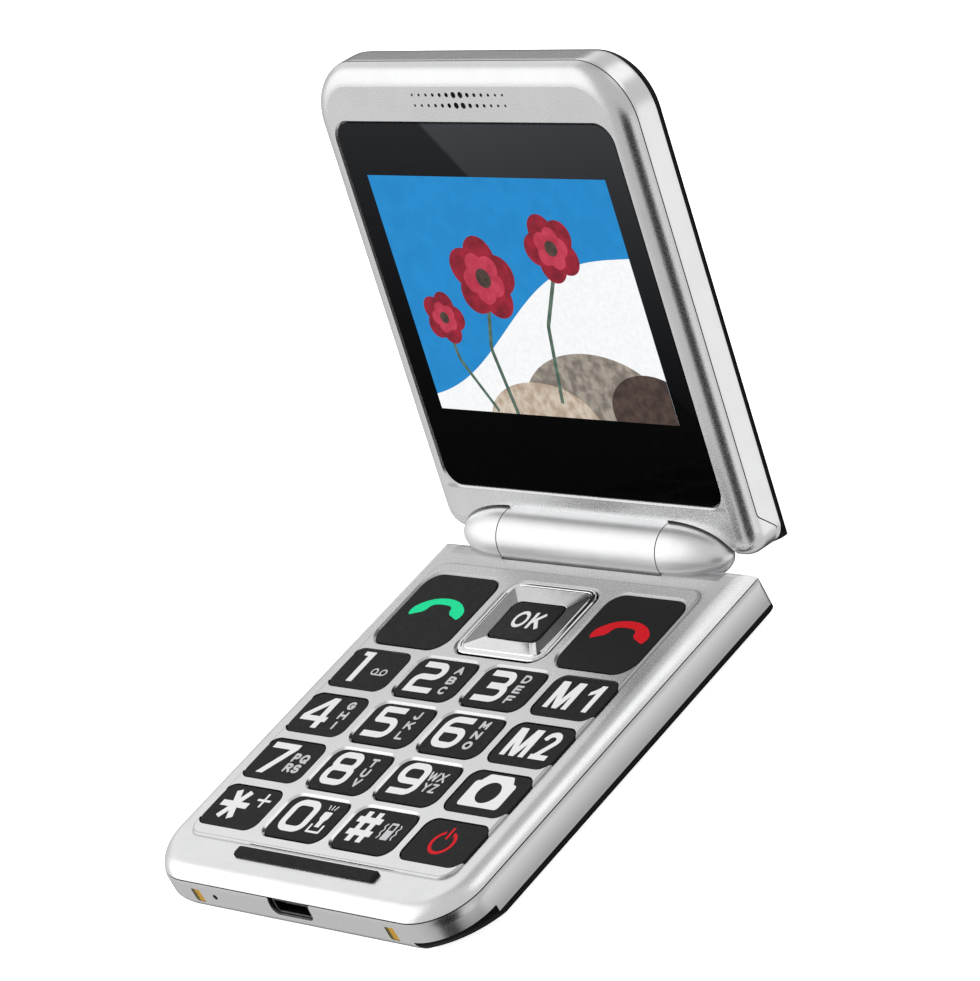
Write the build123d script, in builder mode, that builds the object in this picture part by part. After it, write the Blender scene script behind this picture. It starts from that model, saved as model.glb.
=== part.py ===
from build123d import *
from math import cos, radians, sin
import os

os.makedirs("parts", exist_ok=True)

# ------------------------------------------------------------------
# Driving dimensions, millimetres.  +X right, +Y towards the hinge, +Z up.
# The base lies flat on z = 0 with the origin in the middle of its underside.
# ------------------------------------------------------------------
HALF_W = 32.1            # half the width of either half
FRONT_Y = -37.05         # front edge of the base
REAR_Y = 35.3            # rear end of the base
AXIS_Y = 36.05           # hinge axis
AXIS_Z = 8.85
OPEN_DEG = 103.3         # angle between the two inner faces as modelled
CORNER_FREE = 9.0        # plan corners away from the hinge
CORNER_HINGE = 4.0       # plan corners at the hinge
CORNER_SHARP = 2.0       # what the lid's come down to at its back
CORNER_REAR = 1.0        # the base's own two, nearly square
THUMB_X, THUMB_Y, THUMB_R = 18.375, -22.845, 15.24   # battery cover's front right corner, drawn in for a thumbnail
EDGE_INNER = 3.0         # soft edge round the inner faces
EDGE_UNDER = 2.4         # soft edge round the underside of the base
EDGE_CHIN = 3.8          # softer along its front
EDGE_BACK = 3.0          # soft edge round the back of the lid

FACE_Z = 8.1             # inner face of the base
PANEL_Z = 8.5            # top of the raised keypad panel
BASE_SEAM = 6.35         # parting line of the base shells
COVER_IN = 1.0           # thickness of the battery cover and the gap over it
COVER_STEP = 1.51        # step inside the cover's rim
COVER_Z = 2.05           # where the cover's rim meets the silver wall
CORNER_Z = 3.2           # the same at the thumb corner, front right
CORNER_X, CORNER_Y = 24.0, -28.05
STRIP_Y = -34.34         # silver strip along the front of the underside
SEAM_GAP = 0.15

KEY_TOP = 8.4
KEY_W, KEY_H, KEY_R = 12.3, 8.15, 1.9
KEY_PITCH_X, KEY_PITCH_Y = 14.2, 9.786
KEY_MID_Y = -8.91
KEY_GAP = 0.13
CALL_W, CALL_H, CALL_R = 15.35, 15.4, 2.85
CALL_X, CALL_Y = 19.08, 19.1
NAV_W, NAV_H, NAV_R = 18.2, 15.3, 2.4
NAV_Y = 19.15
NAV_GAP = 0.2
NAV_TOP = 8.72
OK_W, OK_H, OK_R = 10.35, 7.65, 1.2
TRAVEL = 0.3
PIVOT_Z, PIVOT_R = 5.84, 0.235    # round pivots under the rocker plate
NUB_Z, NUB_R = 6.28, 0.25         # round nubs on top of it

BARREL_R = 4.36          # centre knuckle of the hinge, part of the lid
BARREL_HALF = 16.3
DOME_IN = 16.5           # end knuckles, part of the base
DOME_LEN = 10.6
TROUGH_R = 4.68

LID_TOP = 73.1           # hinge axis to the free end of the lid
LID_END = -0.75          # hinge end of the lid, measured from the axis
LID_FACE = 0.1           # inner face of the lid, depth from the axis
LID_SEAM = 2.4
LID_JOG = 5.35           # seam depth at the hinge end
LID_SKIN = 6.1           # where the black back cover starts
LID_BACK = 8.45

WIN_HALF_W = 28.35       # display window
WIN_LOW, WIN_HIGH, WIN_R = 7.35, 64.5, 2.85
LCD_W, LCD_H = 48.96, 36.72
LCD_MID = 38.15

tilt = radians(180 - OPEN_DEG)
AXIS_POINT = (0, AXIS_Y, AXIS_Z)
HINGE = Axis(AXIS_POINT, (1, 0, 0))
# lid plane: x across, y up the lid, z out of its inner face
LID = Plane(origin=AXIS_POINT, x_dir=(1, 0, 0), z_dir=(0, -sin(tilt), cos(tilt)))
LID_OUT = Axis(AXIS_POINT, (0, -sin(tilt), cos(tilt)))
# half-plane through the hinge axis used for everything turned about it
SPIN = Plane(origin=AXIS_POINT, x_dir=(1, 0, 0), z_dir=(0, -1, 0))
ACROSS = Plane(origin=AXIS_POINT, x_dir=(0, 1, 0), z_dir=(1, 0, 0))
# side view of the lid: x up the lid, y out of its inner face
SIDE = Plane(origin=AXIS_POINT, x_dir=(0, cos(tilt), sin(tilt)), z_dir=(1, 0, 0))


def save(part, name):
    part.label = name
    export_step(part, "parts/" + name + ".step")


def rounded(w, h, r):
    with BuildSketch() as s:
        RectangleRounded(w, h, r)
    return s.sketch


def base_outline(inset, square=False):
    with BuildSketch() as s:
        with Locations((0, (FRONT_Y + REAR_Y) / 2)):
            Rectangle(2 * (HALF_W - inset), REAR_Y - FRONT_Y - 2 * inset)
        fillet(s.vertices().group_by(Axis.Y)[0], CORNER_FREE - inset)
        if not square:
            fillet(s.vertices().group_by(Axis.Y)[-1], CORNER_HINGE - inset)
    return s.sketch


def lid_outline(inset, square=False):
    with BuildSketch() as s:
        with Locations((0, (LID_TOP + LID_END) / 2)):
            Rectangle(2 * (HALF_W - inset), LID_TOP - LID_END - 2 * inset)
        fillet(s.vertices().group_by(Axis.Y)[-1], CORNER_FREE - inset)
        if not square:
            fillet(s.vertices().group_by(Axis.Y)[0], CORNER_HINGE - inset)
    return s.sketch


def spindle(x_in, x_tip, r):
    """Half-ellipse of revolution about the hinge axis, both sides."""
    with BuildPart() as p:
        with BuildSketch(SPIN):
            with BuildLine():
                a = Line((x_in, 0), (x_in, r))
                EllipticalCenterArc((x_in, 0), x_tip - x_in, r, 0, arc_size=90)
                Line((x_tip, 0), (x_in, 0))
            make_face()
        revolve(axis=HINGE)
        mirror(about=Plane.YZ)
    return p.part


# ------------------------------------------------------------------
# Outer form of each half, from which the shells are cut
# ------------------------------------------------------------------
def corner_cut(plane_in, plane_out, end, way, r_in, r_out):
    """Takes the hinge-end corners off, radius r_in at plane_in and r_out at plane_out."""
    with BuildPart() as p:
        for plane, r in ((plane_in, r_in), (plane_out, r_out)):
            with BuildSketch(plane):
                with BuildLine():
                    ThreePointArc(
                        (HALF_W, end - way * r), (HALF_W - 0.325 * r, end - way * 0.325 * r), (HALF_W - r, end))
                    Polyline(
                        (HALF_W - r, end), (HALF_W - r, end + way), (HALF_W + 1, end + way),
                        (HALF_W + 1, end - way * r), (HALF_W, end - way * r))
                make_face()
        loft()
        mirror(about=Plane.YZ)
    return p.part


def chin_form(corner):
    """Wider than the base, to soften its underside along the front alone."""
    wide = HALF_W + EDGE_CHIN - EDGE_UNDER + 0.1
    with BuildPart() as p:
        with BuildSketch(Plane.XY) as s:
            with Locations((0, (FRONT_Y + 45) / 2)):
                Rectangle(2 * wide, 45 - FRONT_Y)
            fillet(s.vertices().group_by(Axis.Y)[0], corner)
        extrude(amount=FACE_Z + 5)
        fillet(p.edges().group_by(Axis.Z)[0], EDGE_CHIN)
    return p.part


def thumb_cut():
    """What the thumb corner of the battery cover is drawn in by."""
    with BuildPart() as disc:
        with BuildSketch(Plane.XY):
            with Locations((THUMB_X, THUMB_Y)):
                Circle(THUMB_R)
        extrude(amount=CORNER_Z + 1)
        fillet(disc.edges().group_by(Axis.Z)[0], EDGE_CHIN)
    with BuildPart() as p:
        with BuildSketch(Plane.XY.offset(-1)):
            with Locations((CORNER_X + 9.9, THUMB_Y - 10)):
                Rectangle(20, 20)
        extrude(amount=CORNER_Z + 1.5)
        add(disc.part, mode=Mode.SUBTRACT)
    return p.part


with BuildPart() as base_form:
    with BuildSketch(Plane.XY):
        add(base_outline(0, square=True))
    extrude(amount=FACE_Z)
    fillet(base_form.edges().group_by(Axis.Z)[-1], EDGE_INNER)
    fillet(base_form.edges().group_by(Axis.Z)[0], EDGE_UNDER)
    add(corner_cut(Plane.XY.offset(FACE_Z + 0.1), Plane.XY.offset(-0.1), REAR_Y, 1, CORNER_REAR, CORNER_REAR),
        mode=Mode.SUBTRACT)

with BuildPart() as lid_form:
    with BuildSketch(LID.offset(-LID_BACK)):
        add(lid_outline(0))
    extrude(amount=LID_BACK - LID_FACE)
    fillet(lid_form.edges().group_by(LID_OUT)[-1], EDGE_INNER)
    fillet(lid_form.edges().group_by(LID_OUT)[0], EDGE_BACK)

with BuildPart() as lid_back_form:
    with BuildSketch(LID.offset(-LID_BACK)):
        add(lid_outline(0, square=True))
    extrude(amount=LID_BACK - LID_FACE)
    fillet(lid_back_form.edges().group_by(LID_OUT)[-1], EDGE_INNER)
    fillet(lid_back_form.edges().group_by(LID_OUT)[0], EDGE_BACK)
    add(corner_cut(LID.offset(-LID_JOG), LID.offset(-LID_BACK - 0.1), LID_END, -1, CORNER_HINGE, CORNER_SHARP),
        mode=Mode.SUBTRACT)

domes = spindle(DOME_IN, DOME_IN + DOME_LEN, BARREL_R)
dome_room = spindle(BARREL_HALF, DOME_IN + DOME_LEN + 0.5, BARREL_R + 0.4)
dome_wall = spindle(BARREL_HALF - 0.9, DOME_IN + DOME_LEN + 1.3, BARREL_R + 1.2)
dome_wall_room = spindle(BARREL_HALF - 0.95, DOME_IN + DOME_LEN + 1.36, BARREL_R + 1.26)

# wall round the trough in which the centre knuckle turns
with BuildPart() as trough_wall:
    with BuildSketch(ACROSS.offset(-DOME_IN - 0.9)):
        Circle(TROUGH_R + 0.85)
    extrude(amount=2 * (DOME_IN + 0.9))
    add(base_form.part, mode=Mode.INTERSECT)

with BuildPart() as panel_form:
    with BuildSketch(Plane.XY.offset(FACE_Z - 0.4)):
        with Locations((0, -0.2)):
            RectangleRounded(55.0, 59.1, 2.6)
    extrude(amount=PANEL_Z - FACE_Z + 0.4)
    fillet(panel_form.edges().group_by(Axis.Z)[-1], 0.3)

# everything in front of the lid's seam, which drops towards the back at the
# hinge end
def lid_seam_side(shift):
    with BuildPart() as p:
        with BuildSketch(SIDE.offset(-40)):
            with BuildLine():
                FilletPolyline(
                    (90, -LID_SEAM + shift), (5.3 - 0.6 * shift, -LID_SEAM + shift),
                    (2.45 - 0.6 * shift, -LID_JOG + shift), (-10, -LID_JOG + shift), radius=1.2)
                Polyline((-10, -LID_JOG + shift), (-10, 20), (90, 20), (90, -LID_SEAM + shift))
            make_face()
        extrude(amount=80)
    return p.part


def cover_zone(grow):
    """Underside taken by the battery cover, all but the front strip."""
    with BuildSketch() as s:
        with Locations((0, STRIP_Y - grow + 40)):
            Rectangle(80, 80)
        add(corner_zone(grow))
    return s.sketch


def corner_zone(grow):
    with BuildSketch() as s:
        with Locations((CORNER_X - grow + 10, CORNER_Y + grow - 10)):
            Rectangle(20, 20)
    return s.sketch


SCREW_X, SCREW_YS = 29.1, (-18.7, 10.3)
USB_W, USB_LOW, USB_MID = 8.6, 3.55, 4.95
CONTACT_X, CONTACT_W, CONTACT_H, CONTACT_Z = 20.4, 1.65, 2.2, 4.2
MIC_X, MIC_Z = -16.5, 4.5

# ------------------------------------------------------------------
# Base, front shell: face, keypad panel with its holes, end knuckles
# ------------------------------------------------------------------
with BuildPart() as base_front_shell:
    add(base_form.part)
    split(bisect_by=Plane.XY.offset(BASE_SEAM + SEAM_GAP / 2), keep=Keep.TOP)
    # raised keypad panel
    add(panel_form.part)
    # inside: room for boards and keys
    with BuildSketch(Plane.XY.offset(BASE_SEAM)):
        add(base_outline(1.75))
    extrude(amount=7.0 - BASE_SEAM, mode=Mode.SUBTRACT)
    with BuildSketch(Plane.XY.offset(BASE_SEAM)):
        add(base_outline(1.02))
    extrude(amount=0.4, mode=Mode.SUBTRACT)
    # room over the four-way ring's flange
    with BuildSketch(Plane.XY.offset(6.9)):
        with Locations((0, NAV_Y)):
            RectangleRounded(NAV_W + 2.6, NAV_H + 2.2, NAV_R + 1.0)
    extrude(amount=0.45, mode=Mode.SUBTRACT)
    # key holes
    with BuildSketch(Plane.XY.offset(PANEL_Z)):
        with Locations((0, KEY_MID_Y)):
            with GridLocations(KEY_PITCH_X, KEY_PITCH_Y, 4, 4):
                RectangleRounded(KEY_W + 2 * KEY_GAP, KEY_H + 2 * KEY_GAP, KEY_R + KEY_GAP)
        with Locations((-CALL_X, CALL_Y), (CALL_X, CALL_Y)):
            RectangleRounded(CALL_W + 2 * KEY_GAP, CALL_H + 2 * KEY_GAP, CALL_R + KEY_GAP)
        with Locations((0, NAV_Y)):
            RectangleRounded(NAV_W + 2 * NAV_GAP, NAV_H + 2 * NAV_GAP, NAV_R + NAV_GAP)
    extrude(amount=-2.0, mode=Mode.SUBTRACT)
    rims = base_front_shell.faces().filter_by(Axis.Z).sort_by(Axis.Z)[-1].inner_wires()
    chamfer(ShapeList(e for w in rims for e in w.edges()), 0.32)
    # recess for the bumper strip
    with BuildSketch(Plane.XY.offset(FACE_Z)):
        with Locations((0, -31.35)):
            RectangleRounded(28.6, 1.7, 0.8)
    extrude(amount=-0.5, mode=Mode.SUBTRACT)
    # screw bosses
    with BuildSketch(Plane.XY.offset(7.2)):
        with Locations(*[(sx * SCREW_X, y) for sx in (-1, 1) for y in SCREW_YS]):
            Circle(1.35)
    extrude(amount=-3.1)
    with BuildSketch(Plane.XY.offset(4.1)):
        with Locations(*[(sx * SCREW_X, y) for sx in (-1, 1) for y in SCREW_YS]):
            Circle(0.62)
    extrude(amount=2.6, mode=Mode.SUBTRACT)
    # end knuckles and the trough between them
    add(trough_wall.part)
    add(domes)
    with BuildSketch(ACROSS.offset(-DOME_IN)):
        Circle(TROUGH_R)
    extrude(amount=2 * DOME_IN, mode=Mode.SUBTRACT)
    # right knuckle: socket that holds the shaft's flatted head still
    with BuildSketch(ACROSS.offset(DOME_IN - 0.5)):
        Circle(2.35)
        with Locations((0, 2.35)):
            Rectangle(5, 1.2, mode=Mode.SUBTRACT)
    extrude(amount=5.2, mode=Mode.SUBTRACT)
    # left knuckle: seat of the hollow bush, and the way down for the flat cable
    with BuildSketch(ACROSS.offset(-DOME_IN + 0.5)):
        Circle(3.02)
    extrude(amount=-5.0, mode=Mode.SUBTRACT)
    with BuildSketch(Plane.XY.offset(AXIS_Z - 1.0)):
        with Locations((-18.9, AXIS_Y - 1.5)):
            Rectangle(4.0, 1.6)
    extrude(amount=-4.0, mode=Mode.SUBTRACT)
save(base_front_shell.part, "base_front_shell")

# ------------------------------------------------------------------
# Base, rear shell: side wall, floor and battery bay
# ------------------------------------------------------------------
BAY_W, BAY_LOW, BAY_HIGH = 36.0, -29.5, 12.5
with BuildPart() as base_rear_shell:
    add(base_form.part)
    add(chin_form(CORNER_FREE + 1.5), mode=Mode.INTERSECT)
    split(bisect_by=Plane.XY.offset(BASE_SEAM - SEAM_GAP / 2), keep=Keep.BOTTOM)
    # inside: a ledge low down, the full width above it
    with BuildSketch(Plane.XY.offset(2.0)):
        add(base_outline(2.4))
    extrude(amount=2.0, mode=Mode.SUBTRACT)
    with BuildSketch(Plane.XY.offset(3.7)):
        add(base_outline(1.6))
    extrude(amount=4.0, mode=Mode.SUBTRACT)
    # tongue that locates the front shell
    with BuildSketch(Plane.XY.offset(BASE_SEAM - 0.6)):
        add(base_outline(1.1))
        add(base_outline(1.6), mode=Mode.SUBTRACT)
    extrude(amount=0.92)
    # battery bay
    with BuildSketch(Plane.XY.offset(COVER_IN + 0.9)):
        with Locations((0, (BAY_LOW + BAY_HIGH) / 2)):
            Rectangle(BAY_W + 1.6, BAY_HIGH - BAY_LOW + 1.6)
    extrude(amount=4.75 - COVER_IN - 0.9)
    with BuildSketch(Plane.XY.offset(0.5)):
        with Locations((0, (BAY_LOW + BAY_HIGH) / 2)):
            Rectangle(BAY_W, BAY_HIGH - BAY_LOW)
    extrude(amount=3.8, mode=Mode.SUBTRACT)
    # screw posts
    with BuildSketch(Plane.XY.offset(1.5)):
        with Locations(*[(sx * SCREW_X, y) for sx in (-1, 1) for y in SCREW_YS]):
            Circle(1.9)
    extrude(amount=2.5)
    with BuildSketch(Plane.XY.offset(0.5)):
        with Locations(*[(sx * SCREW_X, y) for sx in (-1, 1) for y in SCREW_YS]):
            Circle(1.35)
    extrude(amount=1.9, mode=Mode.SUBTRACT)
    with BuildSketch(Plane.XY.offset(0.5)):
        with Locations(*[(sx * SCREW_X, y) for sx in (-1, 1) for y in SCREW_YS]):
            Circle(0.85)
    extrude(amount=5.0, mode=Mode.SUBTRACT)
    # loudspeaker grille and room
    with BuildSketch(Plane.XY.offset(0.5)):
        with Locations((-14.0, 21.0)):
            with GridLocations(2.4, 0, 5, 1):
                SlotOverall(9.0, 1.2, rotation=90)
    extrude(amount=3.0, mode=Mode.SUBTRACT)
    # the battery cover's room: under the floor and round its rim
    with BuildSketch(Plane.XY):
        add(cover_zone(0.06))
    extrude(amount=COVER_IN, mode=Mode.SUBTRACT)
    with BuildSketch(Plane.XY):
        add(cover_zone(0.06))
        add(base_outline(2.26), mode=Mode.SUBTRACT)
    extrude(amount=COVER_STEP, mode=Mode.SUBTRACT)
    with BuildSketch(Plane.XY):
        add(cover_zone(0.06))
        add(base_outline(1.56), mode=Mode.SUBTRACT)
    extrude(amount=COVER_Z, mode=Mode.SUBTRACT)
    with BuildSketch(Plane.XY):
        add(corner_zone(0.06))
        add(base_outline(3.06), mode=Mode.SUBTRACT)
    extrude(amount=CORNER_Z, mode=Mode.SUBTRACT)
    # front wall: data socket, open up to the seam, microphone, charging contacts
    with BuildSketch(Plane.XZ.offset(-FRONT_Y + 1)):
        with Locations((0, (USB_LOW + 9) / 2)):
            RectangleRounded(USB_W, 9 - USB_LOW, 1.2)
        with Locations((MIC_X, MIC_Z)):
            Circle(0.45)
        with Locations((-CONTACT_X, CONTACT_Z), (CONTACT_X, CONTACT_Z)):
            RectangleRounded(CONTACT_W + 0.16, CONTACT_H + 0.16, 0.25)
    extrude(amount=-3.6, mode=Mode.SUBTRACT)
    # clearance round the knuckles and their trough
    with BuildSketch(ACROSS.offset(-DOME_IN - 0.96)):
        Circle(TROUGH_R + 0.91)
    extrude(amount=2 * (DOME_IN + 0.96), mode=Mode.SUBTRACT)
    add(spindle(DOME_IN - 0.2, DOME_IN + DOME_LEN + 0.06, BARREL_R + 0.06), mode=Mode.SUBTRACT)
    # way for the flat cable, inside the rear wall
    with BuildSketch(Plane.XY.offset(3.4)):
        with Locations((-18.9, 33.5)):
            Rectangle(4.0, 2.3)
    extrude(amount=4.0, mode=Mode.SUBTRACT)
save(base_rear_shell.part, "base_rear_shell")

# ------------------------------------------------------------------
# Battery cover: the black underside, wrapping up round the edges
# ------------------------------------------------------------------
with BuildPart() as battery_cover:
    with BuildSketch(Plane.XY):
        add(cover_zone(0))
    extrude(amount=COVER_Z - 0.06)
    with BuildSketch(Plane.XY):
        add(corner_zone(0))
    extrude(amount=CORNER_Z - 0.06)
    add(base_form.part, mode=Mode.INTERSECT)
    add(chin_form(CORNER_FREE + 1.5), mode=Mode.INTERSECT)
    add(thumb_cut(), mode=Mode.SUBTRACT)
    with BuildSketch(Plane.XY.offset(COVER_IN - 0.06)):
        add(base_outline(2.2))
        add(corner_zone(0), mode=Mode.SUBTRACT)
        add(base_outline(3.0))
    extrude(amount=5, mode=Mode.SUBTRACT)
    with BuildSketch(Plane.XY.offset(COVER_STEP - 0.06)):
        add(base_outline(1.5))
        add(corner_zone(0), mode=Mode.SUBTRACT)
    extrude(amount=5, mode=Mode.SUBTRACT)
    with BuildSketch(Plane.XY):
        with Locations((-14.0, 21.0)):
            with GridLocations(2.4, 0, 5, 1):
                SlotOverall(9.0, 1.2, rotation=90)
    extrude(amount=2, mode=Mode.SUBTRACT)
save(battery_cover.part, "battery_cover")

# ------------------------------------------------------------------
# Battery, contacts, boards and sheets inside the base
# ------------------------------------------------------------------
with BuildPart() as battery:
    with BuildSketch(Plane.XY.offset(1.1)):
        with Locations((0, (BAY_LOW + BAY_HIGH) / 2)):
            Rectangle(BAY_W - 1.0, BAY_HIGH - BAY_LOW - 1.6)
    extrude(amount=2.75)
    fillet(battery.edges().filter_by(Axis.Y), 0.9)
save(battery.part, "battery")

with BuildPart() as sim_holder:
    with BuildSketch(Plane.XY.offset(3.98)):
        with Locations((-7.5, -8.0)):
            Rectangle(15.0, 13.0)
        with Locations((-7.5, -8.0)):
            Rectangle(9.0, 6.0, mode=Mode.SUBTRACT)
    extrude(amount=0.3)
save(sim_holder.part, "sim_holder")

with BuildPart() as battery_contacts:
    with BuildSketch(Plane.XY.offset(2.05)):
        with Locations((12.0, 15.2)):
            Rectangle(8.0, 3.4)
    extrude(amount=2.8)
    with BuildSketch(Plane.XZ.offset(-13.4)):
        with Locations((12.0, 3.4)):
            with GridLocations(2.2, 0, 3, 1):
                Rectangle(1.1, 1.4)
    extrude(amount=-1.0, mode=Mode.SUBTRACT)
save(battery_contacts.part, "battery_contacts")

PCB_LOW, PCB_TOP = 4.9, 5.6
with BuildPart() as main_board:
    with BuildSketch(Plane.XY.offset(PCB_LOW)):
        with BuildLine():
            Polyline((-30.0, -28.0), (-24.0, -34.2), (24.0, -34.2), (30.0, -28.0),
                     (30.0, 29.0), (-30.0, 29.0), close=True)
        make_face()
        with Locations(*[(sx * (SCREW_X + 1), y) for sx in (-1, 1) for y in SCREW_YS]):
            Rectangle(6.0, 3.4, mode=Mode.SUBTRACT)
        with Locations((0, -33.4)):
            Rectangle(8.0, 4.2, mode=Mode.SUBTRACT)
    extrude(amount=PCB_TOP - PCB_LOW)
    # shielded radio section and a few packages on the underside
    with BuildSketch(Plane.XY.offset(PCB_LOW)):
        with Locations((9.0, 23.2)):
            Rectangle(17.0, 10.0)
    extrude(amount=-1.6)
    with BuildSketch(Plane.XY.offset(PCB_LOW)):
        with Locations((-24.3, -8.0), (24.3, -6.0)):
            Rectangle(6.0, 9.0)
    extrude(amount=-1.1)
save(main_board.part, "main_board")

with BuildPart() as keypad_membrane:
    with BuildSketch(Plane.XY.offset(5.64)):
        with Locations((0, -0.5)):
            RectangleRounded(55.0, 58.0, 2.0)
    extrude(amount=0.2)
save(keypad_membrane.part, "keypad_membrane")

with BuildPart() as loudspeaker:
    with BuildSketch(Plane.XY.offset(2.1)):
        with Locations((-14.0, 21.0)):
            Circle(7.5)
    extrude(amount=2.6)
    fillet(loudspeaker.edges().group_by(Axis.Z)[-1], 0.6)
    with BuildSketch(Plane.XY.offset(2.1)):
        with Locations((-14.0, 21.0)):
            Circle(6.3)
    extrude(amount=0.5, mode=Mode.SUBTRACT)
save(loudspeaker.part, "loudspeaker")

with BuildPart() as vibration_motor:
    with BuildSketch(Plane.XY.offset(2.1)):
        with Locations((24.3, 21.0)):
            Circle(4.0)
    extrude(amount=2.6)
    fillet(vibration_motor.edges().group_by(Axis.Z)[-1], 0.4)
save(vibration_motor.part, "vibration_motor")

with BuildPart() as microphone:
    with BuildSketch(Plane.XY.offset(3.75)):
        with Locations((MIC_X, -34.8)):
            Rectangle(3.6, 1.1)
    extrude(amount=1.6)
    with BuildSketch(Plane.XZ.offset(36)):
        with Locations((MIC_X, MIC_Z)):
            Circle(0.35)
    extrude(amount=-1.2, mode=Mode.SUBTRACT)
save(microphone.part, "microphone")

with BuildPart() as usb_socket:
    with BuildSketch(Plane.XZ.offset(36.6)):
        with Locations((0, USB_MID)):
            RectangleRounded(7.5, 2.5, 0.6)
    extrude(amount=-5.0)
    with BuildSketch(Plane.XZ.offset(37)):
        with Locations((0, USB_MID)):
            RectangleRounded(6.9, 1.9, 0.4)
    extrude(amount=-4.6, mode=Mode.SUBTRACT)
    with BuildSketch(Plane.XZ.offset(36.0)):
        with Locations((0, USB_MID + 0.33)):
            Rectangle(4.2, 0.6)
    extrude(amount=-4.0)
save(usb_socket.part, "usb_socket")

with BuildPart() as charging_contacts:
    with BuildSketch(Plane.XZ.offset(36.95)):
        with Locations((-CONTACT_X, CONTACT_Z), (CONTACT_X, CONTACT_Z)):
            RectangleRounded(CONTACT_W, CONTACT_H, 0.2)
    extrude(amount=-2.13)
save(charging_contacts.part, "charging_contacts")

with BuildPart() as bumper_strip:
    with BuildSketch(Plane.XY.offset(FACE_Z - 0.45)):
        with Locations((0, -31.35)):
            RectangleRounded(28.4, 1.5, 0.7)
    extrude(amount=0.45)
    with BuildSketch(Plane.XY.offset(FACE_Z)):
        with Locations((0, -31.35)):
            RectangleRounded(29.3, 1.9, 0.55)
    extrude(amount=0.6)
    chamfer(bumper_strip.edges().group_by(Axis.Z)[-1], 0.28)
save(bumper_strip.part, "bumper_strip")

with BuildPart() as base_screws:
    with BuildSketch(Plane.XY.offset(1.55)):
        with Locations(*[(sx * SCREW_X, y) for sx in (-1, 1) for y in SCREW_YS]):
            Circle(1.2)
    extrude(amount=0.85)
    with BuildSketch(Plane.XY.offset(2.3)):
        with Locations(*[(sx * SCREW_X, y) for sx in (-1, 1) for y in SCREW_YS]):
            Circle(0.58)
    extrude(amount=3.6)
    with BuildSketch(Plane.XY.offset(1.5)):
        with Locations(*[(sx * SCREW_X, y) for sx in (-1, 1) for y in SCREW_YS]):
            Rectangle(1.3, 0.28)
            Rectangle(0.28, 1.3)
    extrude(amount=0.35, mode=Mode.SUBTRACT)
save(base_screws.part, "base_screws")


# ------------------------------------------------------------------
# Keys: a cap in its hole, a flange under the face, a stem over its switch
# ------------------------------------------------------------------
def key(name, x, y, w, h, r):
    with BuildPart() as cap:
        with BuildSketch(Plane.XY.offset(6.6)):
            with Locations((x, y)):
                RectangleRounded(w, h, r)
        extrude(amount=KEY_TOP - 6.6)
        fillet(cap.edges().group_by(Axis.Z)[-1], 0.16)
        with BuildSketch(Plane.XY.offset(6.55)):
            with Locations((x, y)):
                RectangleRounded(w + 0.8, h + 0.8, r + 0.4)
        extrude(amount=0.3)
        with BuildSketch(Plane.XY.offset(6.18)):
            with Locations((x, y)):
                Circle(1.4)
        extrude(amount=0.5)
    save(cap.part, name)


GRID = [
    ["key_1", "key_2", "key_3", "key_m1"],
    ["key_4", "key_5", "key_6", "key_m2"],
    ["key_7", "key_8", "key_9", "key_camera"],
    ["key_star", "key_0", "key_hash", "key_power"],
]
for row, names in enumerate(GRID):
    for col, name in enumerate(names):
        key(name, (col - 1.5) * KEY_PITCH_X, KEY_MID_Y + (1.5 - row) * KEY_PITCH_Y, KEY_W, KEY_H, KEY_R)
key("key_send", -CALL_X, CALL_Y, CALL_W, CALL_H, CALL_R)
key("key_end", CALL_X, CALL_Y, CALL_W, CALL_H, CALL_R)

# four-way ring, dished towards the select key
with BuildPart() as nav_ring:
    with BuildSketch(Plane.XY.offset(6.6)):
        with Locations((0, NAV_Y)):
            RectangleRounded(NAV_W + 1.1, NAV_H + 1.0, NAV_R + 0.5)
    extrude(amount=0.22)
    with BuildSketch(Plane.XY.offset(6.55)):
        with Locations((0, NAV_Y)):
            RectangleRounded(NAV_W, NAV_H, NAV_R)
    extrude(amount=NAV_TOP - 6.55)
    chamfer(nav_ring.edges().group_by(Axis.Z)[-1], 0.22)
    # four facets running down to the select key
    with BuildSketch(Plane.XY.offset(NAV_TOP)):
        with Locations((0, NAV_Y)):
            RectangleRounded(NAV_W - 1.0, NAV_H - 1.0, NAV_R - 0.5)
    with BuildSketch(Plane.XY.offset(NAV_TOP - 0.6)):
        with Locations((0, NAV_Y)):
            RectangleRounded(OK_W + 0.3, OK_H + 0.3, OK_R + 0.15)
    loft(mode=Mode.SUBTRACT)
    with BuildSketch(Plane.XY.offset(6.0)):
        with Locations((0, NAV_Y)):
            RectangleRounded(OK_W + 0.3, OK_H + 0.3, OK_R + 0.15)
    extrude(amount=4.0, mode=Mode.SUBTRACT)
save(nav_ring.part, "nav_ring")

# rocker plate: tips about X on the two round-topped pivots below, and carries
# two round-topped nubs, on which the ring tips about Y
with BuildPart() as nav_rocker:
    with BuildSketch(Plane.XY.offset(6.1)):
        with Locations((0, NAV_Y)):
            RectangleRounded(17.0, 14.0, 1.5)
            RectangleRounded(12.4, 9.8, 1.0, mode=Mode.SUBTRACT)
    extrude(amount=0.2)
    for y in (NAV_Y - 6.7, NAV_Y + 5.3):
        with BuildSketch(Plane.XZ.offset(-y)):
            with Locations((0, NUB_Z)):
                Circle(NUB_R)
                with Locations((0, -0.5 - 0.02)):
                    Rectangle(2, 1, mode=Mode.SUBTRACT)
        extrude(amount=-1.4)
save(nav_rocker.part, "nav_rocker")

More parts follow.
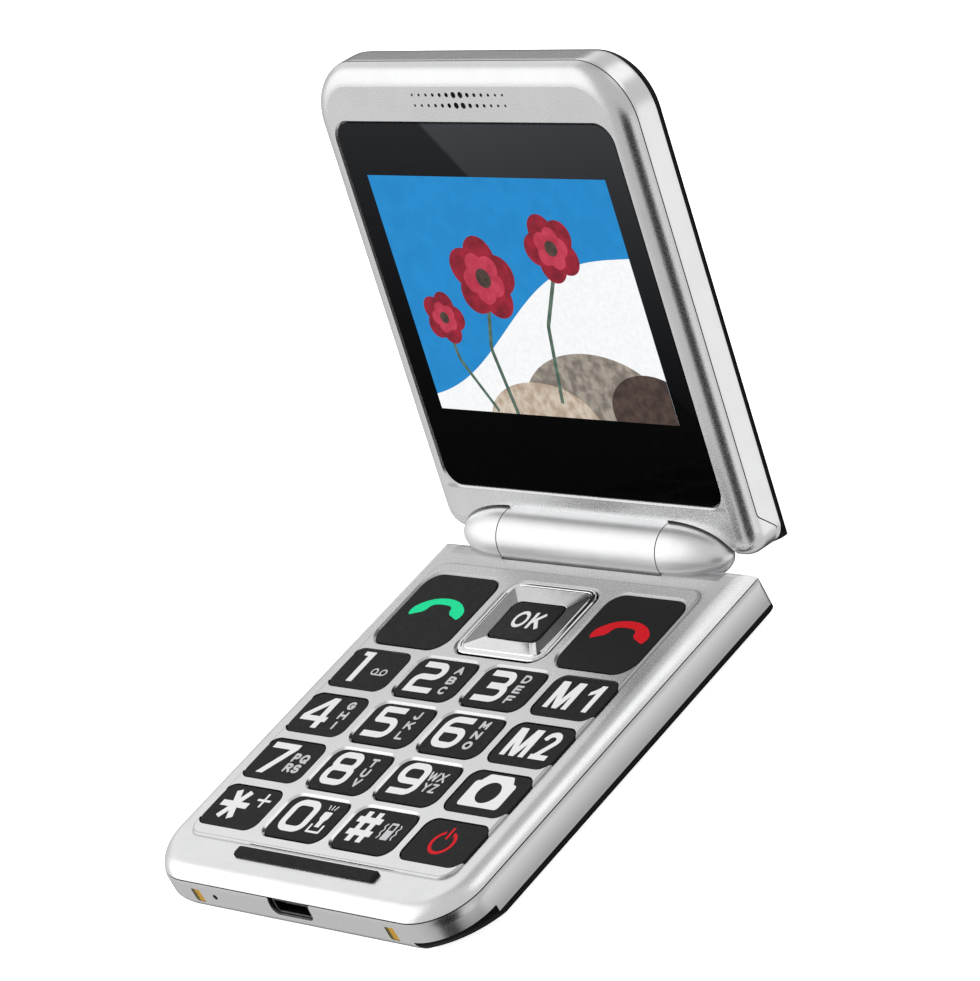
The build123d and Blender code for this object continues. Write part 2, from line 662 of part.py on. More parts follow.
with BuildPart() as nav_pivots:
    for x in (-8.2, 6.6):
        with BuildSketch(Plane.YZ.offset(x)):
            with Locations((NAV_Y, PIVOT_Z)):
                Circle(PIVOT_R)
                with Locations((0, -0.5)):
                    Rectangle(2, 1, mode=Mode.SUBTRACT)
        extrude(amount=1.6)
save(nav_pivots.part, "nav_pivots")

with BuildPart() as key_ok:
    with BuildSketch(Plane.XY.offset(6.18)):
        with Locations((0, NAV_Y)):
            RectangleRounded(OK_W, OK_H, OK_R)
    extrude(amount=8.5 - 6.18)
    fillet(key_ok.edges().group_by(Axis.Z)[-1], 0.3)
    with BuildSketch(Plane.XY.offset(6.18)):
        with Locations((0, NAV_Y)):
            RectangleRounded(OK_W + 1.3, OK_H + 1.3, OK_R + 0.6)
    extrude(amount=0.15)
save(key_ok.part, "key_ok")

# ------------------------------------------------------------------
# Lid, front shell: face, centre knuckle, earpiece holes
# ------------------------------------------------------------------
EAR_V = (68.88, 67.3)
EAR_PITCH = 1.43
EAR_R = (0.47, 0.35, 0.3, 0.27, 0.24, 0.215, 0.2)     # from the middle outwards
LID_SCREWS = [(-27.6, 60.0), (27.6, 60.0), (-28.8, 9.6), (28.8, 9.6)]


def ear_radius(i):
    return EAR_R[int(abs(i - 6.5))]


with BuildPart() as lid_front_shell:
    add(lid_form.part)
    add(lid_seam_side(SEAM_GAP / 2), mode=Mode.INTERSECT)
    # inside
    with BuildSketch(LID.offset(-LID_BACK)):
        add(lid_outline(1.75))
    extrude(amount=LID_BACK - 1.3, mode=Mode.SUBTRACT)
    with BuildSketch(LID.offset(-LID_SEAM)):
        add(lid_outline(0.85))
        with Locations((0, 0)):
            Rectangle(80, 14, mode=Mode.SUBTRACT)
    extrude(amount=0.55, mode=Mode.SUBTRACT)
    # window seat, the view through it, and a bevel round its edge
    with BuildSketch(LID.offset(-LID_FACE)):
        with Locations((0, (WIN_LOW + WIN_HIGH) / 2)):
            RectangleRounded(2 * WIN_HALF_W + 0.2, WIN_HIGH - WIN_LOW + 0.2, WIN_R + 0.1)
    extrude(amount=-0.75, mode=Mode.SUBTRACT)
    seat = lid_front_shell.faces().filter_by(LID).sort_by(LID_OUT)[-1]
    chamfer(seat.inner_wires().edges(), 0.28)
    with BuildSketch(LID.offset(0)):
        with Locations((0, LCD_MID)):
            RectangleRounded(LCD_W + 1.6, LCD_H + 1.6, 0.8)
    extrude(amount=-4.0, mode=Mode.SUBTRACT)
    # earpiece holes, two rows, largest in the middle
    for v in EAR_V:
        with BuildSketch(LID.offset(0)):
            for i in range(14):
                with Locations(((i - 6.5) * EAR_PITCH, v)):
                    Circle(ear_radius(i))
        extrude(amount=-2.0, mode=Mode.SUBTRACT)
    # screw bosses
    with BuildSketch(LID.offset(-1.2)):
        with Locations(*LID_SCREWS):
            Circle(1.25)
    extrude(amount=-2.6)
    with BuildSketch(LID.offset(-1.6)):
        with Locations(*LID_SCREWS):
            Circle(0.62)
    extrude(amount=-4.0, mode=Mode.SUBTRACT)
    # centre knuckle and the hollows for the end knuckles
    with BuildPart(mode=Mode.PRIVATE) as hollow_wall:
        add(dome_wall)
        add(lid_form.part, mode=Mode.INTERSECT)
    add(hollow_wall.part)
    with BuildSketch(ACROSS.offset(-BARREL_HALF)):
        Circle(BARREL_R)
    extrude(amount=2 * BARREL_HALF)
    add(dome_room, mode=Mode.SUBTRACT)
    # bore for the hinge cartridge on the right and the cable on the left
    with BuildSketch(ACROSS.offset(1.5)):
        Circle(3.2)
    extrude(amount=16, mode=Mode.SUBTRACT)
    with BuildSketch(ACROSS.offset(-17.5)):
        Circle(3.06)
    extrude(amount=17.5, mode=Mode.SUBTRACT)
    # slot that lets the flat cable into the lid
    with BuildSketch(LID.offset(-3.6)):
        with Locations((-6.8, 3.9)):
            Rectangle(8.4, 5.2)
    extrude(amount=1.45, mode=Mode.SUBTRACT)
save(lid_front_shell.part, "lid_front_shell")

# ------------------------------------------------------------------
# Lid, rear shell and black back cover
# ------------------------------------------------------------------
CAM_X, CAM_V = 0.0, 60.5
with BuildPart() as lid_rear_shell:
    add(lid_back_form.part)
    split(bisect_by=LID.offset(-7.47), keep=Keep.TOP)
    add(lid_seam_side(-SEAM_GAP / 2), mode=Mode.SUBTRACT)
    with BuildSketch(LID.offset(-6.8)):
        add(lid_outline(2.4))
    extrude(amount=2.0, mode=Mode.SUBTRACT)
    with BuildSketch(LID.offset(-5.2)):
        add(lid_outline(1.6))
    extrude(amount=6.0, mode=Mode.SUBTRACT)
    with BuildSketch(LID.offset(-LID_SEAM - 0.6)):
        add(lid_outline(0.95))
        add(lid_outline(1.6), mode=Mode.SUBTRACT)
        with Locations((0, 0)):
            Rectangle(80, 15, mode=Mode.SUBTRACT)
    extrude(amount=1.05)
    # screw posts
    with BuildSketch(LID.offset(-7.2)):
        with Locations(*LID_SCREWS):
            Circle(1.9)
    extrude(amount=3.3)
    with BuildSketch(LID.offset(-8.0)):
        with Locations(*LID_SCREWS):
            Circle(1.35)
    extrude(amount=1.5, mode=Mode.SUBTRACT)
    with BuildSketch(LID.offset(-8.0)):
        with Locations(*LID_SCREWS):
            Circle(0.75)
    extrude(amount=6.0, mode=Mode.SUBTRACT)
    # camera and torch look out here
    with BuildSketch(LID.offset(-8.0)):
        with Locations((CAM_X, CAM_V)):
            Circle(3.6)
        with Locations((CAM_X + 9.0, CAM_V)):
            Circle(1.7)
    extrude(amount=3.0, mode=Mode.SUBTRACT)
    # the back cover's rim goes round the outside
    with BuildSketch(LID.offset(-LID_BACK)):
        add(lid_outline(-2))
        add(lid_outline(1.56), mode=Mode.SUBTRACT)
    extrude(amount=LID_BACK - LID_SKIN + 0.03, mode=Mode.SUBTRACT)
    # clearance round the knuckles
    add(dome_wall_room, mode=Mode.SUBTRACT)
    with BuildSketch(ACROSS.offset(-BARREL_HALF - 0.06)):
        Circle(BARREL_R + 0.06)
    extrude(amount=2 * (BARREL_HALF + 0.06), mode=Mode.SUBTRACT)
save(lid_rear_shell.part, "lid_rear_shell")

with BuildPart() as lid_back_cover:
    add(lid_back_form.part)
    split(bisect_by=LID.offset(-LID_SKIN - 0.03), keep=Keep.BOTTOM)
    with BuildSketch(LID.offset(-7.53)):
        add(lid_outline(1.5))
    extrude(amount=3.0, mode=Mode.SUBTRACT)
    with BuildSketch(LID.offset(-9.0)):
        with Locations((CAM_X, CAM_V)):
            Circle(3.1)
        with Locations((CAM_X + 9.0, CAM_V)):
            Circle(1.3)
    extrude(amount=3.0, mode=Mode.SUBTRACT)
save(lid_back_cover.part, "lid_back_cover")

# ------------------------------------------------------------------
# Lid contents
# ------------------------------------------------------------------
with BuildPart() as display_window:
    with BuildSketch(LID.offset(-LID_FACE - 0.12)):
        with Locations((0, (WIN_LOW + WIN_HIGH) / 2)):
            RectangleRounded(2 * WIN_HALF_W, WIN_HIGH - WIN_LOW, WIN_R)
    extrude(amount=-0.61)
    chamfer(display_window.edges().group_by(LID_OUT)[-1], 0.1)
save(display_window.part, "display_window")

with BuildPart() as display_panel:
    with BuildSketch(LID.offset(-1.42)):
        with Locations((0, LCD_MID)):
            Rectangle(55.4, 40.6)
    extrude(amount=-2.0)
    with BuildSketch(LID.offset(-0.85)):
        with Locations((0, LCD_MID)):
            Rectangle(LCD_W + 0.8, LCD_H + 0.8)
    extrude(amount=-0.6)
save(display_panel.part, "display_panel")

with BuildPart() as lid_board:
    with BuildSketch(LID.offset(-3.75)):
        with Locations((0, 36.0)):
            Rectangle(44.0, 56.0)
    extrude(amount=-0.6)
    with BuildSketch(LID.offset(-4.3)):
        with Locations((-10.0, 20.0), (12.0, 34.0)):
            Rectangle(9.0, 6.0)
    extrude(amount=-0.9)
save(lid_board.part, "lid_board")

with BuildPart() as earpiece:
    with BuildSketch(LID.offset(-1.62)):
        with Locations((0, 68.2)):
            RectangleRounded(20.6, 4.6, 2.0)
    extrude(amount=-2.0)
save(earpiece.part, "earpiece")

with BuildPart() as earpiece_mesh:
    with BuildSketch(LID.offset(-1.34)):
        with Locations((0, 68.2)):
            RectangleRounded(21.6, 4.4, 1.6)
    extrude(amount=-0.2)
save(earpiece_mesh.part, "earpiece_mesh")

with BuildPart() as camera_module:
    with BuildSketch(LID.offset(-4.45)):
        with Locations((CAM_X, CAM_V)):
            Rectangle(6.6, 6.6)
    extrude(amount=-2.0)
    with BuildSketch(LID.offset(-6.3)):
        with Locations((CAM_X, CAM_V)):
            Circle(2.6)
    extrude(amount=-1.2)
    with BuildSketch(LID.offset(-8.0)):
        with Locations((CAM_X, CAM_V)):
            Circle(1.0)
    extrude(amount=1.2, mode=Mode.SUBTRACT)
save(camera_module.part, "camera_module")

with BuildPart() as camera_lens:
    with BuildSketch(LID.offset(-7.65)):
        with Locations((CAM_X, CAM_V)):
            Circle(3.0)
    extrude(amount=-0.72)
    fillet(camera_lens.edges().group_by(LID_OUT)[0], 0.15)
save(camera_lens.part, "camera_lens")

with BuildPart() as torch_led:
    with BuildSketch(LID.offset(-7.0)):
        with Locations((CAM_X + 9.0, CAM_V)):
            Circle(1.2)
    extrude(amount=-1.37)
    fillet(torch_led.edges().group_by(LID_OUT)[0], 0.25)
save(torch_led.part, "torch_led")

with BuildPart() as magnet:
    with BuildSketch(LID.offset(-1.5)):
        with Locations((20.0, 67.8)):
            Rectangle(6.0, 3.0)
    extrude(amount=-1.5)
save(magnet.part, "magnet")

with BuildPart() as lid_screws:
    with BuildSketch(LID.offset(-6.5)):
        with Locations(*LID_SCREWS):
            Circle(1.2)
    extrude(amount=-0.8)
    with BuildSketch(LID.offset(-6.5)):
        with Locations(*LID_SCREWS):
            Circle(0.58)
    extrude(amount=4.2)
    with BuildSketch(LID.offset(-7.4)):
        with Locations(*LID_SCREWS):
            Rectangle(1.3, 0.28)
            Rectangle(0.28, 1.3)
    extrude(amount=0.45, mode=Mode.SUBTRACT)
save(lid_screws.part, "lid_screws")

# ------------------------------------------------------------------
# Hinge: cartridge in the lid's knuckle, shaft held in the base's right knuckle,
# hollow bush on the left with the flat cable rolled inside it
# ------------------------------------------------------------------
with BuildPart() as hinge_cartridge:
    with BuildSketch(ACROSS.offset(1.6)):
        Circle(3.15)
    extrude(amount=14.6)
    with BuildSketch(ACROSS.offset(2.4)):
        Circle(2.6)
    extrude(amount=12.8, mode=Mode.SUBTRACT)
    with BuildSketch(ACROSS.offset(15.0)):
        Circle(1.35)
    extrude(amount=3.0, mode=Mode.SUBTRACT)
save(hinge_cartridge.part, "hinge_cartridge")

with BuildPart() as hinge_shaft:
    with BuildSketch(ACROSS.offset(16.55)):
        Circle(2.25)
        with Locations((0, 2.35)):
            Rectangle(5, 1.4, mode=Mode.SUBTRACT)
    extrude(amount=4.4)
    with BuildSketch(ACROSS.offset(7.0)):
        Circle(1.3)
    extrude(amount=10.0)
    with BuildSketch(ACROSS.offset(12.8)):
        Circle(2.5)
    extrude(amount=2.3)
save(hinge_shaft.part, "hinge_shaft")

with BuildPart() as hinge_spring:
    with BuildSketch(ACROSS.offset(2.5)):
        Circle(2.4)
        Circle(1.6, mode=Mode.SUBTRACT)
    extrude(amount=8.3)
save(hinge_spring.part, "hinge_spring")

with BuildPart() as hinge_cam:
    with BuildSketch(ACROSS.offset(10.9)):
        Circle(2.5)
        Circle(1.4, mode=Mode.SUBTRACT)
    extrude(amount=1.8)
save(hinge_cam.part, "hinge_cam")

with BuildPart() as hinge_bush:
    with BuildSketch(ACROSS.offset(-20.9)):
        Circle(3.0)
        Circle(2.4, mode=Mode.SUBTRACT)
    extrude(amount=8.5)
    with BuildSketch(Plane.XY.offset(AXIS_Z - 1.0)):
        with Locations((-18.9, AXIS_Y - 1.5)):
            Rectangle(4.1, 1.7)
    extrude(amount=-4.0, mode=Mode.SUBTRACT)
save(hinge_bush.part, "hinge_bush")

# flat cable: a roll about the hinge axis, one tail down to the main board,
# one tail up to the lid board
with BuildPart() as cable_base:
    with BuildSketch(ACROSS.offset(-20.6)):
        Circle(1.9)
        Circle(1.7, mode=Mode.SUBTRACT)
    extrude(amount=7.8)
    with BuildSketch(Plane.XY.offset(AXIS_Z)):
        with Locations((-18.9, AXIS_Y - 1.8)):
            Rectangle(3.2, 0.2)
    extrude(amount=-5.2)
    with BuildSketch(Plane.XY.offset(AXIS_Z - 5.2)):
        with Locations((-18.9, AXIS_Y - 5.0)):
            Rectangle(3.2, 6.6)
    extrude(amount=0.2)
    with BuildSketch(Plane.XY.offset(AXIS_Z - 5.2)):
        with Locations((-18.9, AXIS_Y - 8.2)):
            Rectangle(3.2, 0.2)
    extrude(amount=PCB_LOW - AXIS_Z + 5.2)
save(cable_base.part, "cable_base")

with BuildPart() as cable_lid:
    with BuildSketch(ACROSS.offset(-12.6)):
        Circle(1.9)
        Circle(1.7, mode=Mode.SUBTRACT)
    extrude(amount=10.0)
    with BuildSketch(LID.offset(-1.9)):
        with Locations((-6.8, 1.0)):
            Rectangle(7.4, 2.0)
    extrude(amount=0.2)
    with BuildSketch(LID.offset(-3.2)):
        with Locations((-6.8, 1.9)):
            Rectangle(7.4, 0.2)
    extrude(amount=1.5)
    with BuildSketch(LID.offset(-3.2)):
        with Locations((-6.8, 5.0)):
            Rectangle(7.4, 6.4)
    extrude(amount=0.2)
save(cable_lid.part, "cable_lid")
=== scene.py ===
import bpy
import math
import numpy as np
from mathutils import Matrix, Vector


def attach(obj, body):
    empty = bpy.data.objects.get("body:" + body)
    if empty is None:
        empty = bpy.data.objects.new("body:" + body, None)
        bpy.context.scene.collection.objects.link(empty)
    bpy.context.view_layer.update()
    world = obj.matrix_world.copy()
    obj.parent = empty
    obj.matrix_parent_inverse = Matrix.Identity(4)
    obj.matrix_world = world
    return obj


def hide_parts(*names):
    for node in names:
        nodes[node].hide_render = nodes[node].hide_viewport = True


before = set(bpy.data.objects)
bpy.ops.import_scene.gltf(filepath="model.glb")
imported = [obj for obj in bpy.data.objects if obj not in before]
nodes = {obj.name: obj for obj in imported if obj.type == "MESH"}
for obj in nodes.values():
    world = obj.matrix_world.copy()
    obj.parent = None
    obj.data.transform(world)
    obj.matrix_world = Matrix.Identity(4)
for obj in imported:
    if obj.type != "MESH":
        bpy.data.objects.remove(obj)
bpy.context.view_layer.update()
MM = 0.001


# ---------------------------------------------------------------- materials
def srgb(r, g, b):
    out = []
    for c in (r, g, b):
        c = c / 255.0
        out.append(c / 12.92 if c <= 0.04045 else ((c + 0.055) / 1.055) ** 2.4)
    return (*out, 1.0)


class Mat:
    """Small helper round one node material."""

    def __init__(self, name, rough=0.5, metal=0.0, spec=0.5, coat=0.0, coat_rough=0.05, ior=1.5):
        self.m = bpy.data.materials.new(name)
        self.m.use_nodes = True
        self.t = self.m.node_tree
        self.n = self.t.nodes
        self.l = self.t.links
        self.b = self.n["Principled BSDF"]
        self.b.inputs["Roughness"].default_value = rough
        self.b.inputs["Metallic"].default_value = metal
        self.b.inputs["Specular IOR Level"].default_value = spec
        self.b.inputs["IOR"].default_value = ior
        self.b.inputs["Coat Weight"].default_value = coat
        self.b.inputs["Coat Roughness"].default_value = coat_rough
        self.co = self.n.new("ShaderNodeTexCoord").outputs["Object"]

    def noise(self, scale, detail=2.0, rough=0.5, co=None):
        k = self.n.new("ShaderNodeTexNoise")
        k.inputs["Scale"].default_value = scale
        k.inputs["Detail"].default_value = detail
        k.inputs["Roughness"].default_value = rough
        self.l.new(co or self.co, k.inputs["Vector"])
        return k.outputs["Fac"]

    def cells(self, scale):
        k = self.n.new("ShaderNodeTexVoronoi")
        k.inputs["Scale"].default_value = scale
        self.l.new(self.co, k.inputs["Vector"])
        return k.outputs["Color"]

    def ramp(self, fac, stops, interp="LINEAR"):
        r = self.n.new("ShaderNodeValToRGB")
        r.color_ramp.interpolation = interp
        e = r.color_ramp.elements
        while len(e) > 1:
            e.remove(e[0])
        e[0].position, e[0].color = stops[0][0], stops[0][1]
        for p, c in stops[1:]:
            q = e.new(p)
            q.color = c
        self.l.new(fac, r.inputs["Fac"])
        return r.outputs["Color"]

    def span(self, value, a, b, lo, hi, smooth=False):
        r = self.n.new("ShaderNodeMapRange")
        r.interpolation_type = "SMOOTHSTEP" if smooth else "LINEAR"
        for i, v in zip((1, 2, 3, 4), (a, b, lo, hi)):
            r.inputs[i].default_value = v
        self.l.new(value, r.inputs[0])
        return r.outputs[0]

    def math(self, op, a, b):
        k = self.n.new("ShaderNodeMath")
        k.operation = op
        for i, v in enumerate((a, b)):
            if isinstance(v, (int, float)):
                k.inputs[i].default_value = v
            else:
                self.l.new(v, k.inputs[i])
        return k.outputs[0]

    def axis(self, i):
        """One object coordinate in millimetres."""
        k = self.n.new("ShaderNodeSeparateXYZ")
        self.l.new(self.co, k.inputs[0])
        return self.math("MULTIPLY", k.outputs[i], 1000.0)

    def frame_edge(self, cx, cy, hw, hh, r):
        """Signed distance in mm, seen from above, to a rounded rectangle."""
        qx = self.math("ADD", self.math("ABSOLUTE", self.math("SUBTRACT", self.axis(0), cx), 0.0), r - hw)
        qy = self.math("ADD", self.math("ABSOLUTE", self.math("SUBTRACT", self.axis(1), cy), 0.0), r - hh)
        mx, my = self.math("MAXIMUM", qx, 0.0), self.math("MAXIMUM", qy, 0.0)
        out = self.math("SQRT", self.math("ADD", self.math("MULTIPLY", mx, mx), self.math("MULTIPLY", my, my)), 0.0)
        inn = self.math("MINIMUM", self.math("MAXIMUM", qx, qy), 0.0)
        return self.math("SUBTRACT", self.math("ADD", out, inn), r)

    def blend(self, fac, a, b):
        """Colour a where fac is 0, b where it is 1."""
        k = self.n.new("ShaderNodeMix")
        k.data_type = "RGBA"
        self.l.new(fac, k.inputs[0])
        for i, v in ((6, a), (7, b)):
            if isinstance(v, tuple):
                k.inputs[i].default_value = v
            else:
                self.l.new(v, k.inputs[i])
        return k.outputs[2]

    def dim(self, colour, fac):
        """Colour multiplied by a factor."""
        k = self.n.new("ShaderNodeVectorMath")
        k.operation = "SCALE"
        self.l.new(colour, k.inputs[0])
        self.l.new(fac, k.inputs["Scale"])
        return k.outputs[0]

    def bump(self, height, strength, distance):
        k = self.n.new("ShaderNodeBump")
        k.inputs["Strength"].default_value = strength
        k.inputs["Distance"].default_value = distance
        self.l.new(height, k.inputs["Height"])
        self.l.new(k.outputs["Normal"], self.b.inputs["Normal"])
        return k

    def set(self, name, out):
        self.l.new(out, self.b.inputs[name])


def grey(v):
    return (v, v, v, 1.0)


def tint(v, r=1.0, g=1.0, b=1.0):
    return (v * r, v * g, v * b, 1.0)


def silver(name, low, high, rough=0.26, metal=1.0, grain=0.6):
    """Metallic spray paint: flakes about 0.2 mm across, with slow mottling over them."""
    m = Mat(name, rough=rough, metal=metal, spec=0.5)
    flakes = m.noise(4800.0, 1.0, 0.6)
    patches = m.noise(240.0, 3.0, 0.5)
    m.colour = m.ramp(patches, [(0.3, tint(low, 0.99, 0.993, 1.0)), (0.7, tint(high, 0.99, 0.993, 1.0))])
    m.set("Base Color", m.colour)
    m.set("Roughness", m.span(flakes, 0.3, 0.7, rough - 0.05, rough + 0.05))
    m.bump(flakes, grain, 0.00002)
    return m


silver_face = silver("silver_paint_fine_grain", 0.83, 0.87)
z_mm = silver_face.axis(2)
panel = silver_face.frame_edge(0.0, -0.2, 27.5, 29.55, 2.6)
on_panel = silver_face.span(panel, -0.1, 0.1, 1.0, 0.0)
# painted shade: paler towards the front edge, darker towards the hinge and round the big keys
painted_shade_fall = silver_face.span(silver_face.axis(1), -30.0, 27.0, 1.0, 0.66)
flat = silver_face.span(z_mm, 7.95, 8.08, 0.0, 1.0)
high_up = silver_face.span(z_mm, 8.62, 8.75, 1.0, 0.0)
flat = silver_face.math("MULTIPLY", flat, high_up)
shade_top = silver_face.math("ADD", silver_face.math("MULTIPLY", silver_face.math("SUBTRACT", painted_shade_fall, 1.0), flat), 1.0)
# painted shade: dark inside the key holes, and a fine painted groove shadow round the panel's raised edge
painted_hole_shade = silver_face.math("MULTIPLY", silver_face.span(z_mm, 8.1, 8.16, 1.0, 0.0), silver_face.span(panel, -0.6, -0.5, 1.0, 0.0))
painted_groove_shade = silver_face.span(silver_face.math("ABSOLUTE", silver_face.math("SUBTRACT", panel, 0.05), 0.0), 0.06, 0.2, 0.3, 0.0)
painted_groove_shade = silver_face.math("MULTIPLY", painted_groove_shade, silver_face.span(z_mm, 8.14, 8.2, 1.0, 0.0))
painted_groove_shade = silver_face.math("MULTIPLY", painted_groove_shade, silver_face.span(z_mm, 8.0, 8.06, 0.0, 1.0))
dark = silver_face.math("MAXIMUM", silver_face.math("MULTIPLY", painted_hole_shade, 0.985), painted_groove_shade)
# painted shade: the panel's edge fillet is dimmed in colour to tone down its reflected highlight
painted_rim_shade = silver_face.math("MULTIPLY", silver_face.span(panel, -0.42, -0.3, 0.0, 1.0), silver_face.span(z_mm, 8.18, 8.22, 0.0, 1.0))
painted_rim_shade = silver_face.math("MULTIPLY", painted_rim_shade, silver_face.span(panel, 0.1, 0.2, 0.3, 0.0))
dark = silver_face.math("MAXIMUM", dark, painted_rim_shade)
keep = silver_face.math("SUBTRACT", 1.0, dark)
silver_face.set("Base Color", silver_face.dim(silver_face.dim(silver_face.colour, shade_top), keep))

# the roll of the hinge has a softer gloss than the flat faces, and the trough below it is duller
def roll_mask(m, reach, half):
    """1 on the roll round the hinge axis, 0 away from it."""
    dy = m.math("SUBTRACT", m.axis(1), 36.05)
    dz = m.math("SUBTRACT", m.axis(2), 8.85)
    r = m.math("SQRT", m.math("ADD", m.math("MULTIPLY", dy, dy), m.math("MULTIPLY", dz, dz)), 0.0)
    across = m.span(m.math("ABSOLUTE", m.axis(0), 0.0), half, half + 0.2, 1.0, 0.0)
    return m.math("MULTIPLY", m.span(r, reach, reach + 0.05, 1.0, 0.0), across)


def soften_roll(m, rough, reach, half):
    near = roll_mask(m, reach, half)
    base = m.b.inputs["Roughness"].links[0].from_socket
    extra = m.math("MULTIPLY", near, rough)
    m.set("Roughness", m.math("ADD", base, extra))
    return near


knuckle = soften_roll(silver_face, 0.12, 4.42, 27.6)
trough = silver_face.span(silver_face.axis(1), 4.0, 26.0, 1.0, 0.2)
silver_face.set("Metallic", silver_face.math("MAXIMUM", trough, silver_face.math("MULTIPLY", knuckle, 0.95)))
# painted shade: the lid's silver is a darker copy of the paint, lifted again low down and on the roll
silver_lid = silver("silver_paint_lid", 0.7, 0.74)
centre_roll = soften_roll(silver_lid, 0.14, 4.4, 16.35)
# painted light: paler low down and on the roll; painted shade in a band along the window's lower edge
lx, ly, lz = silver_lid.axis(0), silver_lid.axis(1), silver_lid.axis(2)
up_lid = silver_lid.math("ADD", silver_lid.math("MULTIPLY", silver_lid.math("SUBTRACT", ly, 36.05), 0.23),
                         silver_lid.math("MULTIPLY", silver_lid.math("SUBTRACT", lz, 8.85), 0.9732))
wide = silver_lid.span(silver_lid.math("ABSOLUTE", lx, 0.0), 28.2, 28.8, 1.0, 0.0)
painted_sill_shade = silver_lid.span(silver_lid.math("ABSOLUTE", silver_lid.math("SUBTRACT", up_lid, 7.2), 0.0), 0.2, 0.4, 0.3, 0.0)
painted_sill_shade = silver_lid.math("SUBTRACT", 1.0, silver_lid.math("MULTIPLY", wide, painted_sill_shade))
pale = silver_lid.math("MAXIMUM", silver_lid.span(lz, 16.0, 60.0, 1.16, 1.0), silver_lid.math("MULTIPLY", centre_roll, 1.16))
silver_lid.set("Base Color", silver_lid.dim(silver_lid.colour, silver_lid.math("MULTIPLY", pale, painted_sill_shade)))
# painted shade: the base's walls use a much darker copy of the silver paint
silver_side = silver("silver_side_smooth_painted_shade", 0.36, 0.38, rough=0.24, grain=0.04)
# painted light: the side wall is painted paler just under the seam, where it catches the light, and paler again on the
# front wall
bright = silver_side.math("MULTIPLY", silver_side.span(silver_side.axis(2), 2.6, 6.1, 0.0, 1.0),
                          silver_side.span(silver_side.axis(0), 29.0, 31.5, 0.0, 1.0))
front = silver_side.span(silver_side.axis(1), -36.6, -34.0, 1.0, 0.0)
tone_side = silver_side.blend(bright, silver_side.colour, grey(0.68))
silver_side.set("Base Color", silver_side.blend(front, tone_side, grey(0.74)))
silver_lid_side = silver("silver_lid_side_smooth", 0.8, 0.84, rough=0.22, grain=0.04)


def plain(name, low, high, scale, rough, spec=0.5, metal=0.0, coat=0.0, bump=0.1, dist=0.00002, wobble=0.08,
          coat_rough=0.05):
    """Moulded or plated surface with fine texture, slight colour change and uneven gloss."""
    m = Mat(name, rough=rough, metal=metal, spec=spec, coat=coat, coat_rough=coat_rough)
    a = m.noise(scale, 3.0)
    m.set("Base Color", m.ramp(a, [(0.35, low), (0.65, high)]))
    m.set("Roughness", m.span(m.noise(scale * 0.23, 2.0), 0.3, 0.7, max(0.02, rough - wobble), rough + wobble))
    m.bump(a, bump, dist)
    return m


black_gloss = plain("black_gloss_plastic", tint(0.0022), tint(0.0034), 900, 0.14, spec=0.02, bump=0.03)
key_face = plain("key_charcoal_satin", tint(0.0155), tint(0.0185), 6000, 0.45, spec=0.06, bump=0.1)
ok_face = plain("ok_key_dark", tint(0.0145), tint(0.0175), 5000, 0.36, spec=0.08, bump=0.06)
rubber = plain("bumper_black_rubber", tint(0.016), tint(0.022), 3500, 0.55, spec=0.06, bump=0.2)
nav_metal = plain("nav_ring_bright_plate", tint(0.82), tint(0.86), 3000, 0.13, metal=1.0, bump=0.02, wobble=0.03)
# painted shade: darker copies of the ring's plating for its far, left and right inner facets
nav_far_painted_shade = plain("nav_ring_far_facet_painted_shade", tint(0.66), tint(0.7), 3000, 0.2, metal=1.0, bump=0.02, wobble=0.03)
nav_left_painted_shade = plain("nav_ring_left_facet_painted_shade", tint(0.25), tint(0.29), 3000, 0.14, metal=1.0, bump=0.02, wobble=0.03)
nav_right_painted_shade = plain("nav_ring_right_facet_painted_shade", tint(0.085), tint(0.11), 3000, 0.34, metal=1.0, bump=0.02, wobble=0.03)
gold = plain("gold_plate", srgb(200, 144, 8), srgb(222, 168, 24), 2600, 0.33, metal=0.8, bump=0.08)
# painted shade: a darker strip down the left part of each charging contact
painted_shade_strip_l = gold.span(gold.math("ABSOLUTE", gold.math("ADD", gold.axis(0), 21.05), 0.0), 0.3, 0.42, 1.0, 0.0)
painted_shade_strip_r = gold.span(gold.math("ABSOLUTE", gold.math("SUBTRACT", gold.axis(0), 19.75), 0.0), 0.3, 0.42, 1.0, 0.0)
edge = gold.math("MAXIMUM", painted_shade_strip_l, painted_shade_strip_r)
was = gold.b.inputs["Base Color"].links[0].from_socket
gold.set("Base Color", gold.blend(edge, was, srgb(112, 98, 34)))
steel = plain("steel_brushed", tint(0.42), tint(0.56), 1600, 0.32, metal=1.0, bump=0.08)
# painted shade: the USB socket shell is a near-black copy of the steel, seen inside its opening
socket_steel_painted_shade = plain("socket_shell_steel_painted_shade", tint(0.05), tint(0.1), 1600, 0.35, metal=1.0, bump=0.08)
inner_black = plain("inner_black_plastic", tint(0.008), tint(0.014), 2200, 0.5, bump=0.15)
grey_rubber = plain("membrane_grey_silicone", tint(0.2), tint(0.26), 1500, 0.55, bump=0.1)
board = plain("board_green_mask", tint(1, 0.012, 0.12, 0.05), tint(1, 0.02, 0.17, 0.07), 1400, 0.35, bump=0.1)
pouch = plain("battery_wrap", tint(0.4), tint(0.48), 900, 0.38, metal=0.4, bump=0.12)
amber = plain("cable_polyimide", srgb(150, 84, 20), srgb(180, 104, 30), 1500, 0.35, bump=0.05)
lens = plain("camera_glass_dark", tint(0.003), tint(0.006), 500, 0.06, spec=0.7, bump=0.01, coat=0.6)
torch_white = plain("torch_frosted", tint(0.7), tint(0.8), 1800, 0.3, bump=0.15)
legend_white = plain("legend_white_print", tint(0.8), tint(0.84), 7000, 0.5, spec=0.06, bump=0.08)
